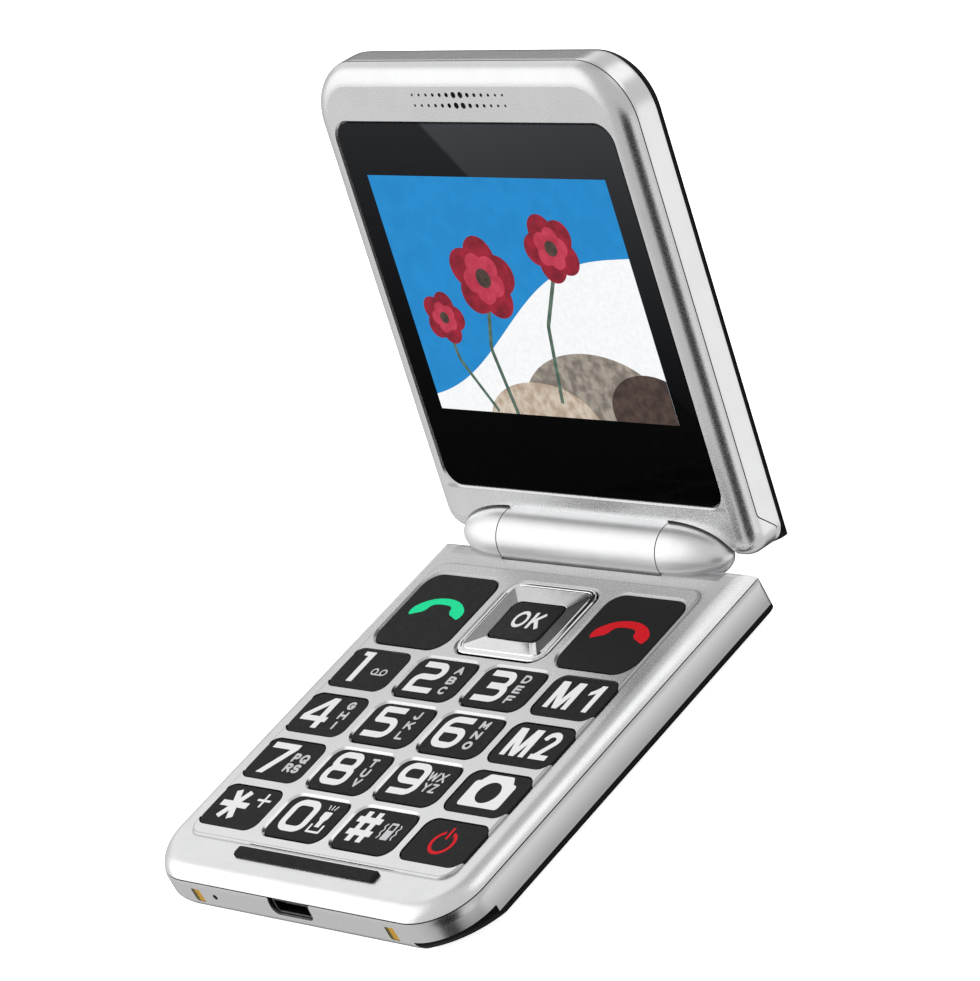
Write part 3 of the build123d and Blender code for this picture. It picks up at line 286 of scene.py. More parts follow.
legend_soft = plain("legend_small_print", srgb(192, 192, 194), srgb(210, 210, 212), 7000, 0.5, spec=0.06, bump=0.08)
legend_red = plain("legend_red_print", srgb(200, 24, 34), srgb(212, 30, 40), 7000, 0.45, spec=0.06, bump=0.08)
legend_green = plain("legend_green_print", srgb(20, 222, 150), srgb(30, 232, 160), 7000, 0.45, spec=0.06, bump=0.08)

# display window: black print under clear cover, with a painted reflection that pales it towards its upper right
window = Mat("display_window_black", rough=0.05, spec=0.006)
wx, wz = window.axis(0), window.axis(2)
slant = window.math("ADD", wx, window.math("MULTIPLY", window.math("SUBTRACT", wz, 71.1), 0.897))
lit_side = window.span(slant, -9.9, -9.0, 0.0, 1.0)
lit_low = window.span(slant, -9.0, 22.0, 1.0, 0.82)
rise = window.span(wz, 18.0, 72.0, 0.0, 1.0)
rise = window.math("MULTIPLY", rise, rise)
painted_reflection_r = window.math("MULTIPLY", window.math("MULTIPLY", rise, lit_low), 0.044)
painted_reflection_l = window.math("MULTIPLY", rise, 0.0165)
painted_reflection = window.math("ADD", painted_reflection_l, window.math("MULTIPLY", lit_side, window.math("SUBTRACT", painted_reflection_r, painted_reflection_l)))
speck = window.span(window.noise(900.0, 1.0), 0.3, 0.7, 0.0012, 0.0018)
painted_reflection_and_speck = window.math("ADD", painted_reflection, speck)
window.set("Base Color", window.ramp(painted_reflection_and_speck, [(0.0, grey(0.0)), (1.0, (0.95, 0.99, 1.09, 1.0))]))
window.set("Roughness", window.span(window.noise(700.0, 1.0), 0.3, 0.7, 0.03, 0.07))

SLOTS = {
    "base_front_shell": silver_face, "base_rear_shell": silver_side, "battery_cover": black_gloss,
    "lid_front_shell": silver_lid, "lid_rear_shell": silver_lid_side, "lid_back_cover": black_gloss,
    "bumper_strip": rubber, "keypad_membrane": grey_rubber, "nav_ring": nav_metal, "nav_rocker": steel,
    "nav_pivots": inner_black, "key_ok": ok_face, "display_window": window, "display_panel": inner_black,
    "lid_board": board, "main_board": board, "battery": pouch, "battery_contacts": inner_black,
    "sim_holder": steel, "loudspeaker": steel, "vibration_motor": steel, "microphone": inner_black,
    "usb_socket": socket_steel_painted_shade, "charging_contacts": gold, "base_screws": steel, "lid_screws": steel,
    "earpiece": inner_black, "earpiece_mesh": inner_black, "camera_module": inner_black, "camera_lens": lens,
    "torch_led": torch_white, "magnet": steel, "hinge_cartridge": steel, "hinge_shaft": steel,
    "hinge_spring": steel, "hinge_cam": inner_black, "hinge_bush": inner_black, "cable_base": amber,
    "cable_lid": amber,
}
for name, obj in nodes.items():
    mat = SLOTS.get(name, key_face)
    obj.data.materials.clear()
    obj.data.materials.append(mat.m)


# ------------------------------------------------------------ flat shapes
# Legends are worked out as signed distances, contoured and filled.
def f_box(x, y, cx, cy, hw, hh, r=0.0, turn=0.0):
    if turn:
        c, s = math.cos(turn), math.sin(turn)
        dx, dy = (x - cx) * c + (y - cy) * s, -(x - cx) * s + (y - cy) * c
    else:
        dx, dy = x - cx, y - cy
    qx, qy = np.abs(dx) - hw + r, np.abs(dy) - hh + r
    return np.hypot(np.maximum(qx, 0), np.maximum(qy, 0)) + np.minimum(np.maximum(qx, qy), 0) - r


def f_seg(x, y, p, q, hw):
    cx, cy = (p[0] + q[0]) / 2, (p[1] + q[1]) / 2
    L = math.hypot(q[0] - p[0], q[1] - p[1]) / 2
    return f_box(x, y, cx, cy, L, hw, 0.0, math.atan2(q[1] - p[1], q[0] - p[0]))


def f_disc(x, y, cx, cy, r):
    return np.hypot(x - cx, y - cy) - r


def f_poly(x, y, pts, r=0.0):
    """Signed distance to a simple polygon, its corners rounded by r."""
    pts = [tuple(p) for p in pts]
    best = np.full(x.shape, 1e9)
    inside = np.zeros(x.shape, bool)
    n = len(pts)
    for i in range(n):
        ax, ay = pts[i]
        bx, by = pts[(i + 1) % n]
        ex, ey = bx - ax, by - ay
        t = np.clip(((x - ax) * ex + (y - ay) * ey) / (ex * ex + ey * ey + 1e-12), 0, 1)
        best = np.minimum(best, np.hypot(x - ax - t * ex, y - ay - t * ey))
        if ay != by:
            hit = ((ay > y) != (by > y)) & (x < (bx - ax) * (y - ay) / (by - ay) + ax)
            inside ^= hit
    return np.where(inside, -best, best) - r


def bend(points):
    """Polyline from (x, y[, radius]) corners with their arcs filled in."""
    out = []
    n = len(points)
    for i, p in enumerate(points):
        r = p[2] if len(p) > 2 else 0
        if r and 0 < i < n - 1:
            a, b, c = Vector(points[i - 1][:2]), Vector(p[:2]), Vector(points[i + 1][:2])
            u, v = (a - b).normalized(), (c - b).normalized()
            ang = u.angle(v)
            d = min(r / math.tan(ang / 2), (a - b).length * 0.98, (c - b).length * 0.98)
            rr = d * math.tan(ang / 2)
            mid = b + (u + v).normalized() * (rr / math.sin(ang / 2))
            s, e = b + u * d - mid, b + v * d - mid
            a0 = math.atan2(s.y, s.x)
            da = (math.atan2(e.y, e.x) - a0 + math.pi) % (2 * math.pi) - math.pi
            for k in range(9):
                t = a0 + da * k / 8
                out.append((mid.x + rr * math.cos(t), mid.y + rr * math.sin(t)))
        else:
            out.append(tuple(p[:2]))
    return out


def f_path(x, y, points, w, closed=False):
    """Stroke of width w: flat at free ends, round at its corners."""
    pts = bend(points)
    if closed:
        pts = pts + [pts[0]]
    d = np.full(x.shape, 1e9)
    for i in range(len(pts) - 1):
        if math.dist(pts[i], pts[i + 1]) > 1e-6:
            d = np.minimum(d, f_seg(x, y, pts[i], pts[i + 1], w / 2))
        if i > 0 or closed:
            d = np.minimum(d, f_disc(x, y, pts[i][0], pts[i][1], w / 2))
    return d


def contour(field, x0, y0, step):
    """Closed loops of field = 0 by marching squares."""
    ny, nx = field.shape
    segs = {}

    def cross(i, j, horizontal):
        if horizontal:
            a, b = field[j, i], field[j, i + 1]
            return (x0 + (i + a / (a - b)) * step, y0 + j * step)
        a, b = field[j, i], field[j + 1, i]
        return (x0 + i * step, y0 + (j + a / (a - b)) * step)

    neg = field < 0
    code = (neg[:-1, :-1] * 1 + neg[:-1, 1:] * 2 + neg[1:, 1:] * 4 + neg[1:, :-1] * 8)
    table = {1: [("L", "B")], 2: [("B", "R")], 3: [("L", "R")], 4: [("R", "T")], 5: [("L", "T"), ("R", "B")],
             6: [("B", "T")], 7: [("L", "T")], 8: [("T", "L")], 9: [("T", "B")], 10: [("B", "L"), ("T", "R")],
             11: [("T", "R")], 12: [("R", "L")], 13: [("R", "B")], 14: [("B", "L")]}
    for j, i in zip(*np.nonzero((code > 0) & (code < 15))):
        edge = {"B": (i, j, 1), "T": (i, j + 1, 1), "L": (i, j, 0), "R": (i + 1, j, 0)}
        for a, b in table[int(code[j, i])]:
            segs[edge[a]] = edge[b]
    loops = []
    while segs:
        start, here = next(iter(segs.items()))
        del segs[start]
        loop = [start]
        while here != start:
            loop.append(here)
            nxt = segs.pop(here, None)
            if nxt is None:
                break
            here = nxt
        pts = [cross(int(i), int(j), bool(h)) for i, j, h in loop]
        if len(pts) > 5:
            loops.append(thin(pts))
    return loops


def thin(pts, tol=0.006):
    """Drops points that lie on the line between their neighbours."""
    keep = [pts[0]]
    i = 0
    n = len(pts)
    while i < n - 1:
        j = min(i + 14, n - 1)
        while j > i + 1:
            ax, ay = pts[i]
            bx, by = pts[j]
            L = math.hypot(bx - ax, by - ay) or 1e-9
            if all(abs((bx - ax) * (ay - q[1]) - (ax - q[0]) * (by - ay)) / L < tol for q in pts[i + 1:j]):
                break
            j -= 1
        keep.append(pts[j])
        i = j
    if math.dist(keep[0], keep[-1]) < 1e-4:
        keep.pop()
    return keep


def flat_piece(name, fn, box, to_row, mats, thick=0.02, step=0.04, body=None):
    """Raised print: the filled shape fn over box, thick mm high. to_row places local mm points."""
    parts = fn if isinstance(fn, list) else [(fn, mats)]
    verts, faces, fmats, used = [], [], [], []
    for k, (f, mat) in enumerate(parts):
        x0, y0, x1, y1 = box
        xs = np.arange(x0, x1 + step, step)
        ys = np.arange(y0, y1 + step, step)
        X, Y = np.meshgrid(xs, ys)
        loops = contour(f(X, Y), x0, y0, step)
        cu = bpy.data.curves.new("tmp", "CURVE")
        cu.dimensions = "2D"
        cu.fill_mode = "BOTH"
        cu.extrude = thick / 2
        for loop in loops:
            sp = cu.splines.new("POLY")
            sp.points.add(len(loop) - 1)
            for q, (px, py) in zip(sp.points, loop):
                q.co = (px, py, 0, 1)
            sp.use_cyclic_u = True
        ob = bpy.data.objects.new("tmp", cu)
        bpy.context.scene.collection.objects.link(ob)
        bpy.context.view_layer.update()
        me = bpy.data.meshes.new_from_object(ob)
        base = len(verts)
        verts += [to_row((v.co.x, v.co.y, v.co.z + thick / 2)) for v in me.vertices]
        for p in me.polygons:
            faces.append([base + i for i in p.vertices])
            fmats.append(k)
        used.append(mat)
        bpy.data.objects.remove(ob)
        bpy.data.curves.remove(cu)
        bpy.data.meshes.remove(me)
    me = bpy.data.meshes.new(name)
    me.from_pydata(verts, [], faces)
    for m in used:
        me.materials.append(m.m)
    for p, k in zip(me.polygons, fmats):
        p.material_index = k
    me.validate()
    import bmesh
    bm = bmesh.new()
    bm.from_mesh(me)
    bmesh.ops.remove_doubles(bm, verts=bm.verts, dist=1e-7)
    bmesh.ops.recalc_face_normals(bm, faces=bm.faces)
    bm.to_mesh(me)
    bm.free()
    ob = bpy.data.objects.new(name, me)
    bpy.context.scene.collection.objects.link(ob)
    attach(ob, body)
    ob.visible_glossy = False
    return ob


# ------------------------------------------------------------ legends
W, H, SW = 5.65, 6.4, 1.3
XL, XR, YB, YT, YM = 0.65, 5.0, 0.65, 5.75, 3.3


def d0(x, y):
    return f_path(x, y, [(XL, 3.6), (XL, YB, 1.35), (XR, YB, 1.35), (XR, YT, 1.35), (XL, YT, 1.35), (XL, 2.9)], SW)


def d1(x, y):
    return np.minimum(f_box(x, y, 2.55, 3.2, 0.67, 3.2), f_poly(x, y, [(0.9, 6.4), (0.9, 5.45), (2.2, 5.35), (2.2, 6.4)]))


def d2(x, y):
    a = f_path(x, y, [(0.37, YT), (XR, YT, 1.25), (XR, YM, 1.25), (XL, YM, 1.1), (XL, 0.4)], SW)
    return np.minimum(a, f_box(x, y, W / 2, 0.62, W / 2, 0.62))


def d3(x, y):
    a = f_path(x, y, [(0.35, YT), (4.85, YT, 1.15), (4.85, YM + 0.05, 1.05), (1.3, YM + 0.05)], SW)
    b = f_path(x, y, [(1.3, YM - 0.05), (XR, YM - 0.05, 1.1), (XR, YB, 1.25), (0.1, YB)], SW)
    return np.minimum(a, b)


def d4(x, y):
    stem = f_box(x, y, 4.22, 3.2, 0.67, 3.2)
    bar = f_box(x, y, 2.8, 1.95, 2.8, 0.58)
    slant = f_poly(x, y, [(0.0, 2.6), (0.0, 1.4), (1.2, 2.2), (3.9, 5.1), (3.9, 6.4), (3.45, 6.4)])
    return np.minimum(np.minimum(stem, bar), slant)


def d5(x, y):
    return f_path(x, y, [(5.3, YT), (1.0, YT, 0.2), (1.0, 3.62, 0.1), (XR, 3.62, 1.25), (XR, YB, 1.3), (0.1, YB)], SW)


def d6(x, y):
    return f_path(x, y, [(5.3, YT), (XL, YT, 1.5), (XL, YB, 1.4), (XR, YB, 1.4), (XR, 3.6, 1.25), (0.9, 3.6)], SW)


def d7(x, y):
    return f_poly(x, y, [(0, 5.05), (0, 6.35), (5.6, 6.35), (5.6, 5.3), (2.6, 0), (1.0, 0), (3.92, 5.05)])


def d8(x, y):
    up = f_path(x, y, [(0.78, 4.75), (0.78, 3.42, 0.95), (4.87, 3.42, 0.95), (4.87, 5.9, 1.1), (0.78, 5.9, 1.1), (0.78, 4.45)], SW)
    lo = f_path(x, y, [(XL, 2.15), (XL, 0.5, 1.15), (XR, 0.5, 1.15), (XR, 3.3, 1.0), (XL, 3.3, 1.0), (XL, 1.85)], SW)
    return np.minimum(up, lo)


def d9(x, y):
    return d6(W - x, H - y)


DIGITS = {"0": d0, "1": d1, "2": d2, "3": d3, "4": d4, "5": d5, "6": d6, "7": d7, "8": d8, "9": d9}


def arc(cx, cy, rx, ry, a0, a1, n=14):
    return [(cx + rx * math.cos(math.radians(a0 + (a1 - a0) * k / n)),
             cy + ry * math.sin(math.radians(a0 + (a1 - a0) * k / n))) for k in range(n + 1)]


# plain stroke capitals on a unit box
FONT = {
    "A": [[(0, 0), (0.5, 1), (1, 0)], [(0.2, 0.36), (0.8, 0.36)]],
    "B": [[(0, 0), (0, 1)], [(0, 1), (0.5, 1)] + arc(0.5, 0.76, 0.4, 0.24, 90, -90) + [(0, 0.52)],
          [(0, 0.52), (0.5, 0.52)] + arc(0.55, 0.26, 0.45, 0.26, 90, -90) + [(0, 0)]],
    "C": [arc(0.52, 0.5, 0.5, 0.5, 50, 310)],
    "D": [[(0, 0), (0, 1), (0.4, 1)] + arc(0.45, 0.5, 0.52, 0.5, 90, -90) + [(0, 0)]],
    "E": [[(0.95, 1), (0, 1), (0, 0), (0.95, 0)], [(0, 0.52), (0.85, 0.52)]],
    "F": [[(0.95, 1), (0, 1), (0, 0)], [(0, 0.5), (0.8, 0.5)]],
    "G": [arc(0.52, 0.5, 0.5, 0.5, 50, 325) + [(0.98, 0.46), (0.55, 0.46)]],
    "H": [[(0, 0), (0, 1)], [(1, 0), (1, 1)], [(0, 0.5), (1, 0.5)]],
    "I": [[(0.5, 0), (0.5, 1)]],
    "J": [[(0.85, 1), (0.85, 0.28)] + arc(0.5, 0.28, 0.35, 0.28, 0, -180)],
    "K": [[(0, 0), (0, 1)], [(0.95, 1), (0.05, 0.4)], [(0.35, 0.6), (1, 0)]],
    "L": [[(0.05, 1), (0.05, 0), (0.95, 0)]],
    "M": [[(0, 0), (0, 1), (0.5, 0.25), (1, 1), (1, 0)]],
    "N": [[(0, 0), (0, 1), (1, 0), (1, 1)]],
    "O": [arc(0.5, 0.5, 0.52, 0.5, 0, 360, 28)],
    "P": [[(0, 0), (0, 1), (0.5, 1)] + arc(0.52, 0.73, 0.43, 0.27, 90, -90) + [(0, 0.46)]],
    "Q": [arc(0.5, 0.5, 0.52, 0.5, 0, 360, 28), [(0.6, 0.3), (1.02, -0.04)]],
    "R": [[(0, 0), (0, 1), (0.5, 1)] + arc(0.52, 0.74, 0.42, 0.26, 90, -90) + [(0, 0.48)], [(0.5, 0.48), (1, 0)]],
    "S": [arc(0.5, 0.74, 0.44, 0.26, 25, 240) + arc(0.5, 0.26, 0.47, 0.26, 75, -155)],
    "T": [[(0, 1), (1, 1)], [(0.5, 1), (0.5, 0)]],
    "U": [[(0, 1), (0, 0.4)] + arc(0.5, 0.4, 0.5, 0.4, 180, 360) + [(1, 1)]],
    "V": [[(0, 1), (0.5, 0), (1, 1)]],
    "W": [[(0, 1), (0.25, 0), (0.5, 0.9), (0.75, 0), (1, 1)]],
    "X": [[(0, 0), (1, 1)], [(0, 1), (1, 0)]],
    "Y": [[(0, 1), (0.5, 0.5), (1, 1)], [(0.5, 0.5), (0.5, 0)]],
    "Z": [[(0.02, 1), (0.98, 1), (0, 0), (1, 0)]],
}


def letter(ch, cx, cy, w, h, sw):
    """Stroke capital centred at (cx, cy)."""
    def f(x, y):
        d = np.full(x.shape, 1e9)
        for line in FONT[ch]:
            pts = [(cx + (a - 0.5) * (w - sw), cy + (b - 0.5) * (h - sw)) for a, b in line]
            d = np.minimum(d, f_path(x, y, pts, sw))
            for end in (pts[0], pts[-1]):
                d = np.minimum(d, f_disc(x, y, end[0], end[1], sw * 0.5))
        return d
    return f


def union(*fs):
    def f(x, y):
        d = fs[0](x, y)
        for g in fs[1:]:
            d = np.minimum(d, g(x, y))
        return d
    return f


NUDGE = {"0": (0.3, 0.19), "1": (0.21, 0.3), "2": (0.3, 0.03), "3": (0.19, 0.1), "4": (0.08, 0.18), "5": (0.08, 0.2),
         "6": (0.02, 0.18), "7": (0.12, 0.14), "8": (0.11, 0.28), "9": (0.08, 0.34)}


def digit(ch, dx=-4.97, dy=-3.04):
    dx, dy = dx + NUDGE[ch][0], dy + NUDGE[ch][1]
    return lambda x, y: DIGITS[ch](x - dx, y - dy) + 0.075


def moved(f, dx, dy, shrink=0.0):
    return lambda x, y: f(x - dx, y - dy) + shrink


def stack(text, cx, ys, w=1.65, h=1.62, sw=0.38):
    return union(*[letter(c, cx, y, w if c not in "I" else 0.9, h, sw) for c, y in zip(text, ys)])


def voicemail(x, y):
    ring = np.minimum(np.abs(f_disc(x, y, 1.27, -0.15, 0.56)), np.abs(f_disc(x, y, 3.13, -0.15, 0.56))) - 0.13
    return np.minimum(ring, f_seg(x, y, (1.27, -0.71), (3.13, -0.71), 0.12))


def star(x, y):
    d = f_seg(x, y, (-4.83, 0.49), (0.9, 0.49), 0.6)
    for t in (64, 116):
        c, s = math.cos(math.radians(t)), math.sin(math.radians(t))
        d = np.minimum(d, f_seg(x, y, (-1.96 - 3.0 * c, 0.49 - 3.0 * s), (-1.96 + 3.0 * c, 0.49 + 3.0 * s), 0.6))
    return d - 0.03


def plus(x, y):
    return np.minimum(f_seg(x, y, (1.64, 1.99), (4.44, 1.99), 0.24), f_seg(x, y, (3.04, 0.6), (3.04, 3.38), 0.24))


def hash_sign(x, y):
    d = f_box(x, y, -3.76, 0.44, 0.54, 2.95)
    d = np.minimum(d, f_box(x, y, -1.62, 0.44, 0.54, 2.95))
    d = np.minimum(d, f_box(x, y, -2.73, 1.74, 2.47, 0.57))
    return np.minimum(d, f_box(x, y, -2.73, -0.71, 2.47, 0.57)) - 0.02


def buzz(x, y):
    d = np.maximum(f_box(x, y, 2.55, 0.34, 0.75, 1.65, 0.18), -f_box(x, y, 2.55, 1.07, 0.42, 0.52, 0.05))
    for s in (-1, 1):
        pts = [(2.55 + s * a, b) for a, b in ((1.25, 1.75), (1.62, 1.2), (1.2, 0.62), (1.6, 0.02), (1.2, -0.55), (1.5, -1.15))]
        d = np.minimum(d, f_path(x, y, [(*p, 0.25) for p in pts], 0.27))
    return d


def torch_icon(x, y):
    d = f_box(x, y, 2.95, 1.3, 0.88, 0.8, 0.3)
    d = np.minimum(d, f_poly(x, y, [(2.1, 0.9), (3.8, 0.9), (3.5, 0.2), (3.5, -1.05), (2.4, -1.05), (2.4, 0.2)]))
    d = np.minimum(d, f_path(x, y, [(1.72, -0.41), (1.72, -1.95), (4.2, -1.95), (4.2, -0.41)], 0.5))
    for p, q in (((2.15, 3.4), (2.45, 2.4)), ((2.98, 3.42), (2.98, 2.4)), ((3.82, 3.4), (3.5, 2.4))):
        d = np.minimum(d, f_seg(x, y, p, q, 0.15))
    return d


def camera_icon(x, y):
    body = f_box(x, y, -0.36, -0.1, 4.15, 2.58, 0.75)
    hump = f_poly(x, y, [(-2.35, 3.15), (1.65, 3.15), (2.55, 1.8), (-3.25, 1.8)], 0.68)
    return np.maximum(np.minimum(body, hump), -f_disc(x, y, -0.36, 0.3, 1.93))


def power_icon(x, y):
    ring = np.abs(f_disc(x, y, -0.5, 0.0, 1.97)) - 0.39
    gap = f_box(x, y, -0.5, 2.2, 0.66, 1.2)
    return np.minimum(np.maximum(ring, -gap), f_seg(x, y, (-0.5, 0.6), (-0.5, 3.0), 0.34))


def handset(x, y):
    right = [(0, 2.78), (1.3, 2.7), (2.6, 2.4), (3.8, 1.85), (4.8, 1.1), (5.35, 0.45), (5.55, -0.2), (5.5, -0.85),
             (5.15, -1.4), (4.75, -1.3), (2.85, -0.5), (2.4, 0.05), (2.2, 0.75), (1.7, 1.15), (0.9, 1.3), (0, 1.33)]
    return f_poly(x, y, right + [(-a, b) for a, b in reversed(right[1:-1])], 0.06)


def big(ch, x0, y0, w, h):
    """Bold letters and figures of the memory keys."""
    def f(x, y):
        u, v = (x - x0), (y - y0)
        s = 1.17
        if ch == "M":
            d = np.minimum(f_box(u, v, s / 2, h / 2, s / 2, h / 2), f_box(u, v, w - s / 2, h / 2, s / 2, h / 2))
            d = np.minimum(d, f_poly(u, v, [(0.1, h), (1.62, h), (w / 2 + 0.55, 0), (w / 2 - 0.55, 0)]))
            return np.minimum(d, f_poly(u, v, [(w - 0.1, h), (w - 1.62, h), (w / 2 - 0.55, 0), (w / 2 + 0.55, 0)]))
        if ch == "1":
            d = f_box(u, v, w - s / 2, h / 2, s / 2, h / 2)
            return np.minimum(d, f_poly(u, v, [(w - 0.6, h), (w - 0.95, h), (w - 1.6, h - 0.85), (0.05, h - 1.45),
                                               (0.05, h - 2.4), (w - 1.1, h - 1.75)]))
        a = f_path(u, v, [(0.45, h - 1.75)] + arc(w / 2 - 0.05, h - 1.62, w / 2 - 0.6, 1.08, 165, -28, 18)
                   + [(1.2, 1.1), (0.85, 0.7)], 1.1)
        return np.minimum(a, f_box(u, v, w / 2, 0.55, w / 2, 0.55))
    return f


def ok_text(x, y):
    o = np.abs(np.hypot((x + 1.76) / 1.17, (y - 0.47) / 1.42) - 1) * 1.27 - 0.31
    k = f_box(x, y, 0.56, 0.47, 0.33, 1.7)
    k = np.minimum(k, f_seg(x, y, (0.65, 0.1), (2.4, 1.95), 0.34))
    k = np.minimum(k, f_seg(x, y, (1.15, 0.75), (2.55, -1.1), 0.36))
    clip = np.abs(y - 0.47) - 1.7
    return np.minimum(o, np.maximum(k, clip))


PX, PY, MID = 14.2, 9.786, -8.91


def at(col, row):
    return ((col - 1.5) * PX, MID + (1.5 - row) * PY)


TOP = 8.4 - 0.004


def key_place(cx, cy, z=TOP):
    return lambda p: ((cx + p[0]) * MM, (cy + p[1]) * MM, (z + p[2]) * MM)


KEYBOX = (-5.9, -3.9, 5.9, 3.95)
LEG = {
    "key_1": (at(0, 0), [(digit("1"), legend_white), (voicemail, legend_soft)]),
    "key_2": (at(1, 0), [(digit("2"), legend_white), (moved(stack("ABC", 2.85, (2.2, 0.1, -2.0)), 0.33, 0.07), legend_soft)]),
    "key_3": (at(2, 0), [(digit("3"), legend_white), (moved(stack("DEF", 2.5, (2.2, 0.1, -2.0)), 0.22, 0.12), legend_soft)]),
    "key_m1": (at(3, 0), [(moved(union(big("M", -4.8, -2.46, 4.85, 5.5), big("1", 1.6, -2.46, 2.45, 5.5)), 0.18, 0.07, 0.085), legend_white)]),
    "key_4": (at(0, 1), [(digit("4"), legend_white), (moved(stack("GHI", 2.88, (2.3, 0.25, -1.85), sw=0.42), 0.2, 0.12), legend_soft)]),
    "key_5": (at(1, 1), [(digit("5"), legend_white), (moved(stack("JKL", 2.83, (2.3, 0.25, -1.85)), 0.2, 0.12), legend_soft)]),
    "key_6": (at(2, 1), [(digit("6"), legend_white), (moved(stack("MNO", 2.5, (2.3, 0.25, -1.85), sw=0.42), 0.2, 0.2), legend_soft)]),
    "key_m2": (at(3, 1), [(moved(union(big("M", -4.8, -2.62, 4.85, 5.6), big("2", 0.85, -2.62, 3.5, 5.6)), 0.17, 0.22, 0.08), legend_white)]),
    "key_7": (at(0, 2), [(digit("7"), legend_white),
                         (union(letter("P", 1.78, 0.92, 1.4, 1.78, 0.44), letter("Q", 3.58, 0.92, 1.65, 1.78, 0.44),
                                letter("R", 1.88, -1.13, 1.55, 1.78, 0.44), letter("S", 3.58, -1.13, 1.55, 1.78, 0.44)), legend_soft)]),
    "key_8": (at(1, 2), [(digit("8", dy=-3.15), legend_white), (moved(stack("TUV", 2.9, (2.45, 0.45, -1.55), 1.5, 1.72, 0.4), 0.07, -0.25), legend_soft)]),
    "key_9": (at(2, 2), [(digit("9"), legend_white),
                         (union(letter("W", 1.85, 1.55, 1.95, 1.85, 0.33), letter("X", 3.7, 1.55, 1.5, 1.85, 0.33),
                                letter("Y", 2.1, -0.6, 1.35, 1.8, 0.33), letter("Z", 3.65, -0.6, 1.3, 1.8, 0.33)), legend_soft)]),
    "key_camera": (at(3, 2), [(moved(camera_icon, 0.15, -0.06, 0.11), legend_white)]),
    "key_star": (at(0, 3), [(moved(star, 0.19, -0.1, 0.07), legend_white), (moved(plus, 0.19, -0.1, 0.03), legend_white)]),
    "key_0": (at(1, 3), [(digit("0"), legend_white), (moved(torch_icon, 0.15, -0.18, 0.06), legend_white)]),
    "key_hash": (at(2, 3), [(moved(hash_sign, 0.32, -0.05, 0.05), legend_white), (moved(buzz, 0.3, -0.05, 0.02), legend_soft)]),
    "key_power": (at(3, 3), [(moved(power_icon, 0.13, 0.03, 0.11), legend_red)]),
}
for node, ((cx, cy), parts) in LEG.items():
    flat_piece("legend_" + node[4:], parts, KEYBOX, key_place(cx, cy), None, body=node[4:] + "_button")
flat_piece("legend_send", [(moved(handset, 0.24, 0.03, 0.13), legend_green)], (-6.2, -2.4, 6.2, 3.4), key_place(-19.08, 19.1), None,
           body="send_button")
flat_piece("legend_end", [(moved(handset, 0.21, -0.13, 0.1), legend_red)], (-6.2, -2.4, 6.2, 3.4), key_place(19.08, 19.1), None,
           body="end_button")
flat_piece("legend_ok", [(moved(ok_text, 0.4, -0.18, 0.03), legend_white)], (-4.0, -2.2, 4.0, 3.2), key_place(0, 19.15, 8.5 - 0.004), None,
           body="ok_button")


# ------------------------------------------------------------ four-way ring
def rounded_ring(hw, hh, r, z, n=6, cy=19.15):
    pts = []
    for cx, cyy, a0 in ((hw - r, hh - r, 0), (-(hw - r), hh - r, 90), (-(hw - r), -(hh - r), 180), (hw - r, -(hh - r), 270)):
        for k in range(n + 1):
            a = math.radians(a0 + 90 * k / n)
            pts.append(((cx + r * math.cos(a)) * MM, (cy + cyy + r * math.sin(a)) * MM, z * MM))
    return pts


def loft(name, rings, mat, body, close=True, smooth=False):
    verts, faces = [], []
    n = len(rings[0])
    for ring in rings:
        verts += ring
    m = len(rings)
    for i in range(m if close else m - 1):
        j = (i + 1) % m
        for k in range(n):
            k2 = (k + 1) % n
            faces.append((i * n + k, i * n + k2, j * n + k2, j * n + k))
    me = bpy.data.meshes.new(name)
    me.from_pydata(verts, [], faces)
    me.materials.append(mat.m)
    import bmesh
    bm = bmesh.new()
    bm.from_mesh(me)
    bmesh.ops.recalc_face_normals(bm, faces=bm.faces)
    bm.to_mesh(me)
    bm.free()
    ob = bpy.data.objects.new(name, me)
    bpy.context.scene.collection.objects.link(ob)
    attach(ob, body)
    return ob


ring_profile = [
    (9.1, 7.65, 2.4, 6.9), (9.1, 7.65, 2.4, 8.44), (9.0, 7.55, 2.3, 8.58), (8.8, 7.35, 2.12, 8.64),
    (8.52, 7.07, 1.9, 8.63), (8.42, 6.97, 1.82, 8.53), (8.22, 6.77, 1.66, 8.53), (8.12, 6.67, 1.58, 8.68),
    (7.98, 6.53, 1.45, 8.70), (5.52, 4.17, 1.4, 8.42), (5.36, 4.01, 1.28, 8.38), (5.34, 3.99, 1.27, 6.9),
]
ring = loft("nav_ring_faceted", [rounded_ring(*p, n=4) for p in ring_profile], nav_metal, "nav_ring")
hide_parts("nav_ring")
# painted shade: the far, left and right inner facets take the darker copies of the plating
for extra in (nav_far_painted_shade, nav_left_painted_shade, nav_right_painted_shade):
    ring.data.materials.append(extra.m)
for p in ring.data.polygons:
    c = p.center / MM
    dx, dy = c.x / 9.1, (c.y - 19.15) / 7.65
    inner = 8.0 < c.z < 8.69 and (abs(c.x) < 7.9 and abs(c.y - 19.15) < 6.45) and p.normal.z > 0.3
    if inner:
        if abs(p.normal.x) > abs(p.normal.y):
            p.material_index = 2 if c.x < 0 else 3
        elif c.y > 19.15:
            p.material_index = 1


# ------------------------------------------------------------ screen picture
tilt = math.radians(180 - 103.3)
AX = Vector((0, 36.05, 8.85))
UP = Vector((0, math.cos(tilt), math.sin(tilt)))
OUT = Vector((0, -math.sin(tilt), math.cos(tilt)))


def lid_place(n):
    """Local mm (x, height up the lid) at depth n behind the inner face's hinge plane."""
    def f(p):
        q = AX + Vector((p[0], 0, 0)) + UP * p[1] + OUT * (-n + p[2])
        return tuple(c * MM for c in q)
    return f


